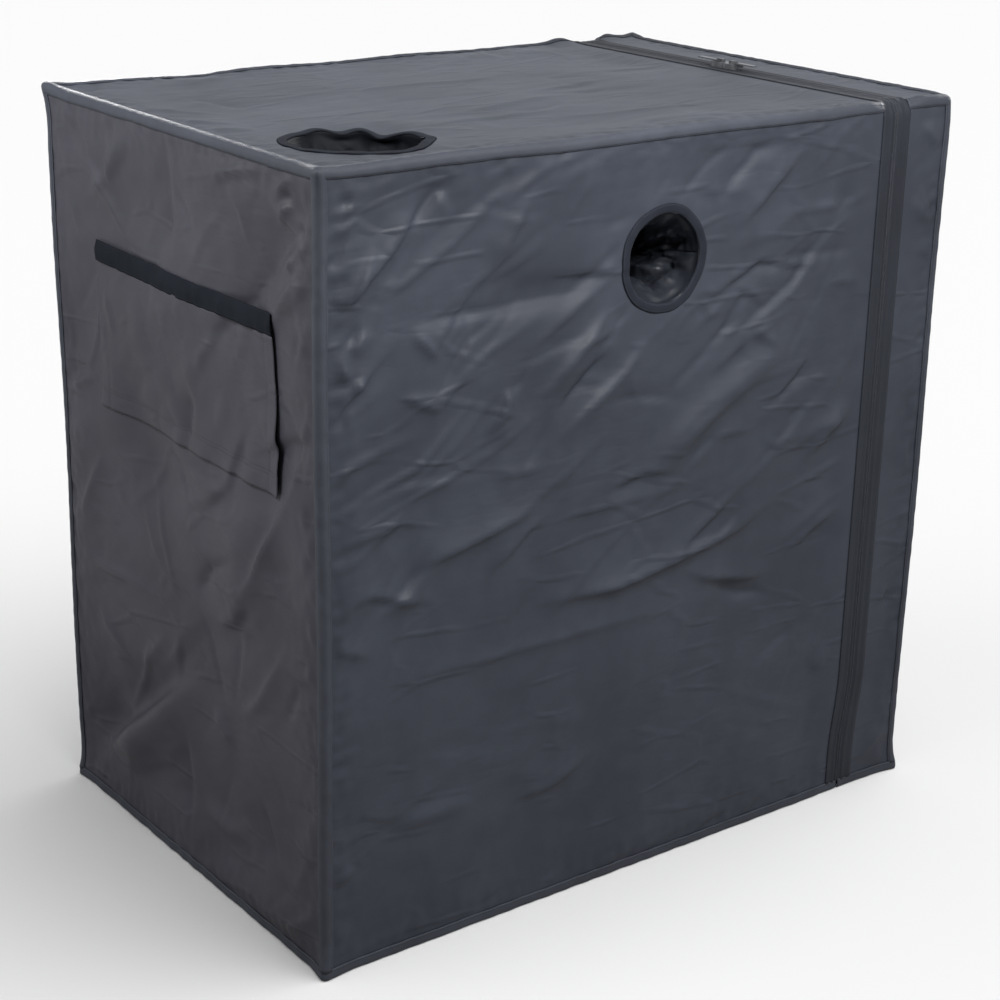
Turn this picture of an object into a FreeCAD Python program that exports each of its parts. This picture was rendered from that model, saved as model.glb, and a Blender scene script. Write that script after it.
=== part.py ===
import FreeCAD, Part
import Sketcher
import itertools
import os
import re

# A small box-shaped grow tent: a steel pole frame inside a sewn cloth cover.
# Origin: centre of the footprint, on the ground. +X runs along the long front wall towards
# the zipped end, +Y runs to the back wall, +Z is up. Millimetres.

doc = FreeCAD.newDocument("GrowTent")
dims = doc.addObject("Spreadsheet::Sheet", "Dims")

sizes = {
    # Overall size, over the edge bindings.
    "tent_length": 900,
    "tent_depth": 600,
    "tent_height": 900,
    # Cloth: walls sit inside the bindings' outer faces by skin_inset.
    "skin_inset": 2.4,
    "cloth_thick": 1.6,
    "floor_gap": 0.4,
    "binding_leg": 14,
    "sill_height": 10,
    # Door: the zipped end folds down about an axis just above the ground.
    "hinge_height": 1,
    "door_foot": 2,
    # Zip: two tapes and two coil halves in a hoop up the front, over the top and down the back.
    "zip_along": 355,
    "zip_bend": 20,
    "tape_inset": 1.6,
    "tape_thick": 1.6,
    "tape_width": 22,
    "tape_gap": 0.6,
    "coil_width": 3,
    "coil_gap": 0.2,
    "coil_thick": 1.6,
    # Zip slider and its pull.
    "slider_long": 22,
    "slider_wide": 15,
    "slider_thick": 4,
    "slider_lift": 1.6,
    "slider_apart": 11.3,
    "slider_skirt": 3.6,
    "skirt_drop": 1.2,
    "bridge_wide": 3,
    "bridge_long": 13,
    "bridge_high": 3.8,
    "bridge_wall": 2,
    "pull_wire": 0.8,
    "pull_inside": 2.1,
    "pull_arm": 1.6,
    "pull_reach": 10,
    "pull_long": 40,
    # Frame: poles pushed over the spigots of three-way plastic corners.
    "frame_inset": 16,
    "pole_radius": 8,
    "pole_bore": 7.2,
    "hub_half": 11,
    "spigot_radius": 7.1,
    "spigot_reach": 40,
    # Two hanging bars across the roof, with clips over the long top poles.
    "bar_spread": 150,
    "bar_setback": 14,
    "clip_bore": 8.1,
    "clip_radius": 10.8,
    "clip_long": 22,
    "clip_root": 9,
    "clip_lip": 4,
    # Duct ports: a flat cloth ring outside and a sleeve inside.
    "front_port_radius": 50.5,
    "top_port_radius": 75.5,
    "ring_wide": 11.5,
    "ring_thick": 1.6,
    "sleeve_thick": 1.6,
    "sleeve_long": 150,
    "front_port_along": 5,
    "front_port_up": 753,
    "top_port_along": -320,
    "top_port_across": -180,
    # Vent window on the closed end: mesh inside, hook-and-loop flap outside.
    "vent_across": -8,
    "flap_width": 398,
    "flap_top": 712,
    "flap_bottom": 536,
    "flap_gap": 0.3,
    "header_height": 24,
    "tab_width": 24,
    "tab_thick": 1,
    "mesh_lap": 12,
    "mesh_thick": 0.8,
}

for row, (alias, value) in enumerate(sizes.items(), start=1):
    dims.set(f"A{row}", alias.replace("_", " "))
    dims.set(f"B{row}", str(value))
    dims.setAlias(f"B{row}", alias)
doc.recompute()

nodes = []
X = FreeCAD.Vector(1, 0, 0)
Y = FreeCAD.Vector(0, 1, 0)
Z = FreeCAD.Vector(0, 0, 1)

# Frequent positions, as formulas over the sheet.
END = "tent_length / 2"
SIDE = "tent_depth / 2"
SKIN_END = "(tent_length / 2 - skin_inset)"
SKIN_SIDE = "(tent_depth / 2 - skin_inset)"
SKIN_TOP = "(tent_height - skin_inset)"
INNER_END = "(tent_length / 2 - skin_inset - cloth_thick)"
INNER_SIDE = "(tent_depth / 2 - skin_inset - cloth_thick)"
INNER_TOP = "(tent_height - skin_inset - cloth_thick)"
TAPE_LEFT = "(zip_along - tape_gap - tape_width)"
TAPE_RIGHT = "(zip_along + tape_gap + tape_width)"
POLE_END = "(tent_length / 2 - frame_inset)"
POLE_SIDE = "(tent_depth / 2 - frame_inset)"
POLE_LOW = "(cloth_thick + hub_half)"
POLE_HIGH = "(tent_height - frame_inset)"
FLAP_INNER = "(tent_length / 2 - skin_inset + 2 * tab_thick + flap_gap)"
FLAP_OUTER = f"({FLAP_INNER} + cloth_thick)"


def formula(text):
    """Point every name in a formula at its cell in the sheet."""
    return re.sub(r"[a-z_]+", lambda word: "Dims." + word.group(), str(text))


def value(text):
    """The number a formula gives with the sheet's present values."""
    filled = re.sub(r"[a-z_]+", lambda word: str(sizes[word.group()]), str(text))
    return dims.evalExpression(filled)


def bind(thing, **properties):
    for name, text in properties.items():
        thing.setExpression(name, formula(text))


def at(thing, x="0", y="0", z="0", turn=None):
    """Place an object by formulas, after an optional fixed rotation."""
    if turn is not None:
        thing.Placement = FreeCAD.Placement(FreeCAD.Vector(), turn)
    for axis, text in zip("xyz", (x, y, z)):
        thing.setExpression(f"Placement.Base.{axis}", formula(text))
    return thing


def facing(x, y, z):
    """The rotation that takes the local axes to three given directions."""
    return FreeCAD.Rotation(x, y, z, "XYZ")


def keep(thing, label):
    thing.Label = label
    nodes.append(thing)
    return thing


def block(name, x, y, z):
    """A box between three pairs of formulas."""
    box = doc.addObject("Part::Box", name)
    for side, axis, (low, high) in zip(("Length", "Width", "Height"), "xyz", (x, y, z)):
        box.setExpression(side, formula(f"({high}) - ({low})"))
        box.setExpression(f"Placement.Base.{axis}", formula(low))
    return box


def rod(name, radius, length, turn=None, x="0", y="0", z="0"):
    """A cylinder that starts at a point and runs along its turned local +Z."""
    cylinder = doc.addObject("Part::Cylinder", name)
    bind(cylinder, Radius=radius, Height=length)
    return at(cylinder, x, y, z, turn)


def cut(name, base, tool):
    result = doc.addObject("Part::Cut", name)
    result.Base = base
    result.Tool = tool
    return result


def fuse(name, parts):
    result = doc.addObject("Part::MultiFuse", name)
    result.Shapes = parts
    result.Refine = True
    return result


def compound(name, parts):
    result = doc.addObject("Part::Compound", name)
    result.Links = parts
    return result


def blankSketch(body, name):
    sketch = body.newObject("Sketcher::SketchObject", name)
    plane = next(item for item in body.Origin.OriginFeatures if item.Role == "XY_Plane")
    sketch.AttachmentSupport = [(plane, "")]
    sketch.MapMode = "FlatFace"
    return sketch


def padded(body, sketch, length):
    pad = body.newObject("PartDesign::Pad", body.Name + "_pad")
    pad.Profile = sketch
    bind(pad, Length=length)
    return body


def tube(name, outer, inner, length):
    """A body: two circles round the origin, padded along +Z."""
    body = doc.addObject("PartDesign::Body", name)
    sketch = blankSketch(body, name + "_rings")
    for index, radius in enumerate((outer, inner)):
        sketch.addGeometry(Part.Circle(FreeCAD.Vector(), Z, value(radius)), False)
        sketch.addConstraint(Sketcher.Constraint("Coincident", index, 3, -1, 1))
        size = sketch.addConstraint(Sketcher.Constraint("Radius", index, value(radius)))
        sketch.setExpression(f"Constraints[{size}]", formula(radius))
    return padded(body, sketch, length)


def angleStrip(name, length):
    """A body: an L of two binding legs along +X and +Y, padded along +Z."""
    body = doc.addObject("PartDesign::Body", name)
    sketch = blankSketch(body, name + "_angle")
    leg, thick = "binding_leg", "skin_inset"
    corners = [("0", "0"), (leg, "0"), (leg, thick), (thick, thick), (thick, leg), ("0", leg)]
    points = [FreeCAD.Vector(value(x), value(y), 0) for x, y in corners]
    for start, end in zip(points, points[1:] + points[:1]):
        sketch.addGeometry(Part.LineSegment(start, end), False)
    for index, (x, y) in enumerate(corners):
        sketch.addConstraint(
            Sketcher.Constraint("Coincident", index, 2, (index + 1) % len(corners), 1)
        )
        for kind, text in (("DistanceX", x), ("DistanceY", y)):
            size = sketch.addConstraint(Sketcher.Constraint(kind, -1, 1, index, 1, value(text)))
            sketch.setExpression(f"Constraints[{size}]", formula(text))
    return padded(body, sketch, length)


def makePoles():
    """Twelve poles, each between two corner hubs."""
    for up, height in (("bottom", POLE_LOW), ("top", POLE_HIGH)):
        for side, sign in (("front", "-"), ("back", "")):
            pole = tube(f"pole_{up}_{side}", "pole_radius", "pole_bore", f"2 * {POLE_END} - 2 * hub_half")
            at(pole, f"hub_half - {POLE_END}", sign + POLE_SIDE, height, facing(Y, Z, X))
            keep(pole, pole.Name)
        for side, sign in (("left", "-"), ("right", "")):
            pole = tube(f"pole_{up}_{side}", "pole_radius", "pole_bore", f"2 * {POLE_SIDE} - 2 * hub_half")
            at(pole, sign + POLE_END, f"hub_half - {POLE_SIDE}", height, facing(Z, X, Y))
            keep(pole, pole.Name)
    for side, across in (("front", "-"), ("back", "")):
        for end, along in (("left", "-"), ("right", "")):
            name = f"pole_upright_{side}_{end}"
            pole = tube(name, "pole_radius", "pole_bore", f"{POLE_HIGH} - {POLE_LOW} - 2 * hub_half")
            at(pole, along + POLE_END, across + POLE_SIDE, f"{POLE_LOW} + hub_half")
            keep(pole, name)


def makeCorners():
    """Eight moulded corners: a square hub with three spigots that point along the poles."""
    choices = itertools.product(
        (("bottom", POLE_LOW, 1), ("top", POLE_HIGH, -1)),
        (("front", "-", 1), ("back", "", -1)),
        (("left", "-", 1), ("right", "", -1)),
    )
    for (up, height, rise), (side, across, inward), (end, along, onward) in choices:
        name = f"corner_{up}_{side}_{end}"
        half = "hub_half"
        pieces = [block(name + "_hub", *[("-" + half, half)] * 3)]
        for axis, turn in (("x", facing(Y, Z, X)), ("y", facing(Z, X, Y)), ("z", facing(X, Y, Z))):
            pieces.append(rod(f"{name}_{axis}", "spigot_radius", "spigot_reach", turn))
        corner = fuse(name, pieces)
        ways = (X * onward, Y * inward, Z * rise)
        if onward * inward * rise < 0:
            ways = (ways[1], ways[0], ways[2])
        at(corner, along + POLE_END, across + POLE_SIDE, height, facing(*ways))
        keep(corner, name)


def makeHangingBars():
    """Two bars under the roof, each held by a clip that hooks over either long top pole."""
    clips = []
    for end, sign in (("left", "-"), ("right", "")):
        name = f"hanging_bar_{end}"
        bar = tube(name, "pole_radius", "pole_bore", f"2 * {POLE_SIDE} - 2 * bar_setback")
        at(bar, f"{sign}bar_spread", f"bar_setback - {POLE_SIDE}", POLE_HIGH, facing(Z, X, Y))
        keep(bar, name)
        for side, across, inward in (("front", "-", 1), ("back", "", -1)):
            tag = f"clip_{side}_{end}"
            start = "-clip_long / 2"
            hook = rod(tag + "_outer", "clip_radius", "clip_long", facing(Y, Z, X), start)
            bore = rod(tag + "_bore", "clip_bore", "clip_long + 2", facing(Y, Z, X), start + " - 1")
            width = ("-clip_long", "clip_long")
            below = block(tag + "_below", width, width, ("-2 * clip_radius", "-clip_lip"))
            ring = cut(tag + "_hook", cut(tag + "_ring", hook, bore), below)
            length = "spigot_reach - clip_root"
            spigot = rod(tag + "_spigot", "spigot_radius", length, facing(Z, X, Y), y="clip_root")
            clip = fuse(tag, [ring, spigot])
            turn = facing(X * inward, Y * inward, Z)
            clips.append(at(clip, f"{sign}bar_spread", across + POLE_SIDE, POLE_HIGH, turn))
    keep(compound("hanging_bar_clips", clips), "hanging_bar_clips")


def makeCover():
    """The five fixed cloth pieces: floor, closed end, front, back and roof."""
    rise = ("0", INNER_TOP)
    along = ("-" + INNER_END, TAPE_LEFT)
    across = ("-" + SKIN_SIDE, SKIN_SIDE)
    floor = block(
        "floor_panel",
        ("-" + INNER_END, f"{INNER_END} - floor_gap"),
        (f"floor_gap - {INNER_SIDE}", f"{INNER_SIDE} - floor_gap"),
        ("0", "cloth_thick"),
    )
    keep(floor, "floor_panel")

    sheet = block("left_sheet", ("-" + SKIN_END, "-" + INNER_END), across, rise)
    window = block(
        "window_cut",
        ("-" + SKIN_END + " - 1", "1 - " + INNER_END),
        ("vent_across - flap_width / 2 + 2 * tab_width", "vent_across + flap_width / 2 - 2 * tab_width"),
        ("flap_bottom + 1.5 * tab_width", "flap_top - tab_width"),
    )
    keep(cut("left_panel", sheet, window), "left_panel")

    sheet = block("front_sheet", along, ("-" + SKIN_SIDE, "-" + INNER_SIDE), rise)
    hole = rod(
        "front_hole", "front_port_radius", "4 * cloth_thick", facing(X, Z * -1, Y),
        "front_port_along", f"-{SKIN_SIDE} - cloth_thick", "front_port_up",
    )
    keep(cut("front_panel", sheet, hole), "front_panel")
    keep(block("back_panel", along, (INNER_SIDE, SKIN_SIDE), rise), "back_panel")

    sheet = block("top_sheet", ("-" + SKIN_END, TAPE_LEFT), across, (INNER_TOP, SKIN_TOP))
    hole = rod(
        "top_hole", "top_port_radius", "4 * cloth_thick", None,
        "top_port_along", "top_port_across", f"{INNER_TOP} - cloth_thick",
    )
    keep(cut("top_panel", sheet, hole), "top_panel")


def makeDoorCloth():
    """The zipped end: an end wall with a rim on the front, the back and the roof."""
    rim = (TAPE_RIGHT, INNER_END)
    rise = ("door_foot", INNER_TOP)
    pieces = {
        "door_end_panel": ((INNER_END, SKIN_END), ("-" + SKIN_SIDE, SKIN_SIDE), rise),
        "door_front_rim": (rim, ("-" + SKIN_SIDE, "-" + INNER_SIDE), rise),
        "door_back_rim": (rim, (INNER_SIDE, SKIN_SIDE), rise),
        "door_top_rim": ((TAPE_RIGHT, SKIN_END), ("-" + SKIN_SIDE, SKIN_SIDE), (INNER_TOP, SKIN_TOP)),
    }
    for name, spans in pieces.items():
        keep(block(name, *spans), name)


def makeBindings():
    """Folded tape over every sewn edge, fixed on the tent and moving on the door."""
    upright = "tent_height - binding_leg - sill_height"
    corners = {
        "binding_front_left": ("-" + END, "-" + SIDE, facing(X, Y, Z)),
        "binding_back_left": ("-" + END, SIDE, facing(Y * -1, X, Z)),
        "door_front_binding": (END, "-" + SIDE, facing(Y, X * -1, Z)),
        "door_back_binding": (END, SIDE, facing(X * -1, Y * -1, Z)),
    }
    for name, (x, y, turn) in corners.items():
        keep(at(angleStrip(name, upright), x, y, "sill_height", turn), name)

    left = at(
        angleStrip("binding_top_left", "tent_depth"),
        "-" + END, "-" + SIDE, "tent_height", facing(X, Z * -1, Y),
    )
    keep(left, "binding_top_left")
    door = [
        at(
            angleStrip("door_top_edge", "tent_depth"),
            END, "-" + SIDE, "tent_height", facing(Z * -1, X * -1, Y),
        )
    ]
    turns = {"front": ("-", facing(Z * -1, Y, X)), "back": ("", facing(Y * -1, Z * -1, X))}
    for side, (sign, turn) in turns.items():
        long = angleStrip("binding_top_" + side, f"{TAPE_LEFT} + {END} - binding_leg")
        at(long, f"binding_leg - {END}", sign + SIDE, "tent_height", turn)
        keep(long, long.Name)
        short = angleStrip("door_top_stub_" + side, f"{END} - binding_leg - {TAPE_RIGHT}")
        door.append(at(short, TAPE_RIGHT, sign + SIDE, "tent_height", turn))
    keep(compound("door_top_binding", door), "door_top_binding")

    across = ("-" + SKIN_SIDE, SKIN_SIDE)
    through = ("-1", "sill_height + 1")
    sills = {
        "floor_binding": (("-" + END, "zip_along - tape_gap"), ("-" + SKIN_END, END), "0"),
        "door_sill_binding": (("zip_along + tape_gap", END), ("0", SKIN_END), "hinge_height"),
    }
    for name, (outer_along, inner_along, foot) in sills.items():
        outside = block(name + "_outside", outer_along, ("-" + SIDE, SIDE), (foot, "sill_height"))
        inside = block(name + "_inside", inner_along, across, through)
        keep(cut(name, outside, inside), name)


def hoop(name, low, high, inset, thick):
    """A band that runs up the front, over the roof and down the back with rounded bends."""
    outside = block(
        name + "_outside", (low, high),
        (f"{inset} - {SIDE}", f"{SIDE} - {inset}"), ("sill_height", f"tent_height - {inset}"),
    )
    inside = block(
        name + "_inside", (f"{low} - 1", f"{high} + 1"),
        (f"{inset} + {thick} - {SIDE}", f"{SIDE} - {inset} - {thick}"),
        ("0", f"tent_height - {inset} - {thick}"),
    )
    square = cut(name + "_square", outside, inside)
    doc.recompute()
    rounded = doc.addObject("Part::Fillet", name)
    rounded.Base = square
    bends = []
    for index, edge in enumerate(square.Shape.Edges, start=1):
        middle = edge.CenterOfMass
        below = value("tent_height") - middle.z
        level = edge.BoundBox.ZLength < 1 and edge.BoundBox.YLength < 1
        if level and below < value("zip_bend"):
            bends.append((index, value("zip_bend") - below, value("zip_bend") - below))
    rounded.Edges = bends
    return rounded


def makeZip():
    """Tape and coil halves on either side of the opening line."""
    spans = {
        "zip_tape_fixed": (TAPE_LEFT, "zip_along - tape_gap", "tape_inset", "tape_thick"),
        "zip_tape_door": ("zip_along + tape_gap", TAPE_RIGHT, "tape_inset", "tape_thick"),
        "zip_coil_fixed": ("zip_along - coil_gap - coil_width", "zip_along - coil_gap", "0", "coil_thick"),
        "zip_coil_door": ("zip_along + coil_gap", "zip_along + coil_gap + coil_width", "0", "coil_thick"),
    }
    for name, span in spans.items():
        keep(hoop(name, *span), name)


def makeSlider(side, inward):
    """One slider, at rest beside its twin in the middle of the roof run, and its pull."""
    place = dict(x="zip_along", y=f"{-inward} * slider_apart", z="tent_height + slider_lift")
    turn = facing(X * inward, Y * inward, Z)
    half_long = ("-slider_long / 2", "slider_long / 2")
    # The skirt hangs beside the fixed coil half and leaves the door half free to lift away.
    skirt_x = ("-slider_wide / 2", "slider_skirt - slider_wide / 2")
    if inward < 0:
        skirt_x = ("slider_wide / 2 - slider_skirt", "slider_wide / 2")
    name = f"zip_slider_{side}"
    half_wide = ("-slider_wide / 2", "slider_wide / 2")
    plate = block(name + "_plate", half_wide, half_long, ("0", "slider_thick"))
    skirt = block(name + "_skirt", skirt_x, half_long, ("-slider_lift - skirt_drop", "slider_thick"))
    across = ("-bridge_wide / 2", "bridge_wide / 2")
    bridge = block(
        name + "_bridge", across,
        ("-bridge_long / 2", "bridge_long / 2"), ("slider_thick", "slider_thick + bridge_high"),
    )
    window = block(
        name + "_window", ("-bridge_wide", "bridge_wide"),
        ("bridge_wall - bridge_long / 2", "bridge_long / 2 - bridge_wall"),
        ("slider_thick", "slider_thick + bridge_high - 1"),
    )
    slider = fuse(name, [plate, skirt, cut(name + "_arch", bridge, window)])
    keep(at(slider, turn=turn, **place), name)

    name = f"zip_pull_{side}"
    level = "slider_thick + 1.4"
    wire_long = "2 * pull_inside + 2 * pull_arm"
    wire = rod(name + "_wire", "pull_wire", wire_long, facing(Y, Z, X), "-pull_inside - pull_arm", z=level)
    thick = (f"{level} - pull_wire", f"{level} + pull_wire")
    pieces = [wire]
    for arm, low, high in (
        ("low", "-pull_inside - pull_arm", "-pull_inside"),
        ("high", "pull_inside", "pull_inside + pull_arm"),
    ):
        pieces.append(block(f"{name}_{arm}", (low, high), ("-pull_reach", "0"), thick))
    grip = ("-pull_inside - pull_arm", "pull_inside + pull_arm")
    pieces.append(block(name + "_grip", grip, ("-pull_long", "-pull_reach"), thick))
    keep(at(fuse(name, pieces), turn=turn, **place), name)


def makePorts():
    """A flat ring on the outside of the wall and a straight sleeve on the inside."""
    inset = "(skin_inset - ring_thick)"
    places = {
        "front": (
            facing(X, Z * -1, Y), "front_port_along", "front_port_up",
            f"{inset} - {SIDE}", f"-{INNER_SIDE}",
        ),
        "top": (
            facing(X, Y * -1, Z * -1), "top_port_along", "top_port_across",
            f"tent_height - {inset}", INNER_TOP,
        ),
    }
    for side, (turn, along, other, outer_face, inner_face) in places.items():
        bore = f"{side}_port_radius"
        pieces = {
            f"port_ring_{side}": (f"{bore} + ring_wide", "ring_thick", outer_face),
            f"port_sleeve_{side}": (f"{bore} + sleeve_thick", "sleeve_long", inner_face),
        }
        for name, (radius, length, face) in pieces.items():
            body = tube(name, radius, bore, length)
            spot = (along, face, other) if side == "front" else (along, other, face)
            keep(at(body, *spot, turn), name)


def frameOfTabs(name, layer):
    """Hook-and-loop strips round three sides of the vent: both sides and the bottom."""
    low, high = "(vent_across - flap_width / 2)", "(vent_across + flap_width / 2)"
    rise = ("flap_bottom + tab_width", "flap_top - tab_width / 2")
    strips = [
        block(name + "_near", layer, (low, f"{low} + tab_width"), rise),
        block(name + "_far", layer, (f"{high} - tab_width", high), rise),
        block(name + "_under", layer, (low, high), ("flap_bottom", "flap_bottom + tab_width")),
    ]
    return fuse(name, strips)


def makeVent():
    """Window mesh, header tape, flap, and the strips that close the flap."""
    across = ("vent_across - flap_width / 2", "vent_across + flap_width / 2")
    mesh = block(
        "vent_mesh", ("-" + INNER_END, f"mesh_thick - {INNER_END}"),
        (f"{across[0]} + 2 * tab_width - mesh_lap", f"{across[1]} - 2 * tab_width + mesh_lap"),
        ("flap_bottom + 1.5 * tab_width - mesh_lap", "flap_top - tab_width + mesh_lap"),
    )
    keep(mesh, "vent_mesh")
    header = ("flap_top", "flap_top + header_height")
    keep(block("vent_header_tape", ("-" + FLAP_OUTER, "-" + SKIN_END), across, header), "vent_header_tape")
    loops = frameOfTabs("vent_loop_strips", (f"-{SKIN_END} - tab_thick", "-" + SKIN_END))
    keep(loops, "vent_loop_strips")
    rise = ("flap_bottom", "flap_top - flap_gap")
    keep(block("vent_flap", ("-" + FLAP_OUTER, "-" + FLAP_INNER), across, rise), "vent_flap")
    hooks = frameOfTabs("flap_hook_strips", ("-" + FLAP_INNER, f"tab_thick - {FLAP_INNER}"))
    keep(hooks, "flap_hook_strips")


makePoles()
makeCorners()
makeHangingBars()
makeCover()
makeDoorCloth()
makeBindings()
makeZip()
makeSlider("front", 1)
makeSlider("back", -1)
makePorts()
makeVent()
doc.recompute()

for thing in doc.Objects:
    if "Invalid" in thing.State or "Error" in thing.State:
        raise RuntimeError(f"{thing.Label} did not compute: {thing.State}")
for node in nodes:
    if node.Shape.isNull() or not node.Shape.isValid() or not node.Shape.Solids:
        raise RuntimeError(f"{node.Label} has no valid solid")

os.makedirs("parts", exist_ok=True)
for node in nodes:
    node.Shape.exportStep(f"parts/{node.Label}.step")
print(len(nodes), "nodes")
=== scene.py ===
import math

import bmesh
import bpy
import numpy as np
from mathutils import Matrix, Vector


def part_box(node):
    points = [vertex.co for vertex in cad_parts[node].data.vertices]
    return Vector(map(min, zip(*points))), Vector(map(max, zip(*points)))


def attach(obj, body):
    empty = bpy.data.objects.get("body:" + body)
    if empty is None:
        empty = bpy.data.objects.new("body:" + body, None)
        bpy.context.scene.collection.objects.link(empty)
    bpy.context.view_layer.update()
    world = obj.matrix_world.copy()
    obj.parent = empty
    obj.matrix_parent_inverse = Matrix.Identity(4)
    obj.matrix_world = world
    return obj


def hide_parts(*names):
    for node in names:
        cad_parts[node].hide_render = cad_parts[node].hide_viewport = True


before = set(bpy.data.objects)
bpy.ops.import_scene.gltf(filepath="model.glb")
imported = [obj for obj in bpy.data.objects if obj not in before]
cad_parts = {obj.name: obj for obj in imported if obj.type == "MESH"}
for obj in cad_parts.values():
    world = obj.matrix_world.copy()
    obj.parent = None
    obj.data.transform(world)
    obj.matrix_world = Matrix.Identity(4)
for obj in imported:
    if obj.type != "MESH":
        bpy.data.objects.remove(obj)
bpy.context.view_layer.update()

# the tent's own planes, read from the frame

skin = {
    "left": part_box("left_panel")[0].x,
    "right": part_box("door_end_panel")[1].x,
    "front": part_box("front_panel")[0].y,
    "back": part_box("back_panel")[1].y,
    "top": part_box("top_panel")[1].z,
    "zip": (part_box("zip_coil_fixed")[1].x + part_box("zip_coil_door")[0].x) / 2,
    "cornerRound": 0.0045,
    "zipRound": 0.019,
}

# each face: a point on it, its two directions, the way it faces, and its extent along both
faces = {
    "front": {"at": (0, skin["front"], 0), "u": (1, 0, 0), "v": (0, 0, 1), "out": (0, -1, 0)},
    "back": {"at": (0, skin["back"], 0), "u": (1, 0, 0), "v": (0, 0, 1), "out": (0, 1, 0)},
    "left": {"at": (skin["left"], 0, 0), "u": (0, 1, 0), "v": (0, 0, 1), "out": (-1, 0, 0)},
    "right": {"at": (skin["right"], 0, 0), "u": (0, 1, 0), "v": (0, 0, 1), "out": (1, 0, 0)},
    "top": {"at": (0, 0, skin["top"]), "u": (1, 0, 0), "v": (0, 1, 0), "out": (0, 0, 1)},
}
for side in ("front", "back"):
    faces[side]["span"] = (skin["left"], skin["right"], 0, skin["top"])
for side in ("left", "right"):
    faces[side]["span"] = (skin["front"], skin["back"], 0, skin["top"])
faces["top"]["span"] = (skin["left"], skin["right"], skin["front"], skin["back"])


def centreOf(node):
    low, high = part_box(node)
    return (low + high) / 2


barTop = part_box("hanging_bar_left")[1].z
ringWide = 0.0115
frontPort = {"at": (centreOf("port_ring_front").x, centreOf("port_ring_front").z)}
topPort = {"at": (centreOf("port_ring_top").x, centreOf("port_ring_top").y)}
for port, name in ((frontPort, "front"), (topPort, "top")):
    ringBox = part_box(f"port_ring_{name}")
    port["ring"] = (ringBox[1].x - ringBox[0].x) / 2
    port["hole"] = port["ring"] - ringWide


# small maths
def smooth(x, low, high):
    t = np.clip((np.asarray(x, float) - low) / (high - low), 0, 1)
    return t * t * (3 - 2 * t)


def ripple(u, v, seed, size, lean=None, stretch=1.0):
    # a soft random surface: a sum of plane waves about one size, of height about 1
    rng = np.random.default_rng(seed)
    total = np.zeros_like(u, dtype=float)
    for _ in range(16):
        turn = rng.uniform(0, 2 * math.pi)
        pitch = 2 * math.pi / size * rng.uniform(0.55, 1.6)
        kx = math.cos(turn) * pitch
        ky = math.sin(turn) * pitch
        if lean is not None:
            along = kx * math.cos(lean) + ky * math.sin(lean)
            kx -= along * math.cos(lean) * (1 - 1 / stretch)
            ky -= along * math.sin(lean) * (1 - 1 / stretch)
        total += np.cos(kx * u + ky * v + rng.uniform(0, 2 * math.pi))
    return total / math.sqrt(8)


def creased(u, v, seed, size, lean=None, stretch=1.0):
    # the same with sharp valleys, as in crumpled cloth
    return 0.75 - np.abs(ripple(u, v, seed, size, lean, stretch))


def facets(u, v, seed, size, lean=0.0, stretch=1.0):
    # flat facets that meet in crisp, slightly bent creases, as in cloth that was packed away
    rng = np.random.default_rng(seed)
    heights = rng.normal(size=(48, 48)) * 0.6
    x = (u * math.cos(lean) + v * math.sin(lean)) / (size * stretch) + 20
    y = (v * math.cos(lean) - u * math.sin(lean)) / size + 20
    x, y = x + 0.24 * ripple(x, y, seed + 1, 2.6), y + 0.24 * ripple(x, y, seed + 2, 2.6)
    i = np.floor(x).astype(int)
    j = np.floor(y).astype(int)
    fx = x - i
    fy = y - j
    h00, h10 = heights[i % 48, j % 48], heights[(i + 1) % 48, j % 48]
    h01, h11 = heights[i % 48, (j + 1) % 48], heights[(i + 1) % 48, (j + 1) % 48]
    below = h00 + (h10 - h00) * fx + (h11 - h10) * fy
    above = h00 + (h11 - h01) * fx + (h01 - h00) * fy
    return np.where(fx > fy, below, above)


def alongLine(u, v, points):
    # distance to a bent line, with a sign for its side, and how far along it
    best = np.full(u.shape, 1e9)
    side = np.ones(u.shape)
    share = np.zeros(u.shape)
    runs = [math.dist(a, b) for a, b in zip(points, points[1:])]
    gone = 0.0
    for (a, b), run in zip(zip(points, points[1:]), runs):
        du = (b[0] - a[0]) / run
        dv = (b[1] - a[1]) / run
        t = np.clip((u - a[0]) * du + (v - a[1]) * dv, 0, run)
        away = np.hypot(u - a[0] - t * du, v - a[1] - t * dv)
        nearer = away < best
        best = np.where(nearer, away, best)
        side = np.where(nearer, np.sign(du * (v - a[1]) - dv * (u - a[0])), side)
        share = np.where(nearer, (gone + t) / sum(runs), share)
        gone += run
    return best * side, share


foldSharpness = 0.78


def foldHeight(u, v, fold):
    kind, height, width, points = fold
    points = [(a / 1000, b / 1000) for a, b in points]
    width = width * foldSharpness
    reach = width / 1000 * 8
    near = (
        (u > min(p[0] for p in points) - reach) & (u < max(p[0] for p in points) + reach)
        & (v > min(p[1] for p in points) - reach) & (v < max(p[1] for p in points) + reach)
    )
    out = np.zeros_like(u)
    if not near.any():
        return out
    away, share = alongLine(u[near], v[near], points)
    away = away / (width / 1000)
    taper = smooth(share, 0, 0.34) * smooth(1 - share, 0, 0.46)
    if kind == "soft":
        profile = np.exp(-away ** 2)
    elif kind == "step":
        profile = away * np.exp(-np.abs(away)) * 2.2
    else:
        slope = np.where(away > 0, away / 1.9, away / 0.62)
        profile = np.exp(-np.sqrt(slope ** 2 + 0.02) + 0.14)
    out[near] = height / 1000 * taper * profile
    return out


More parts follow.
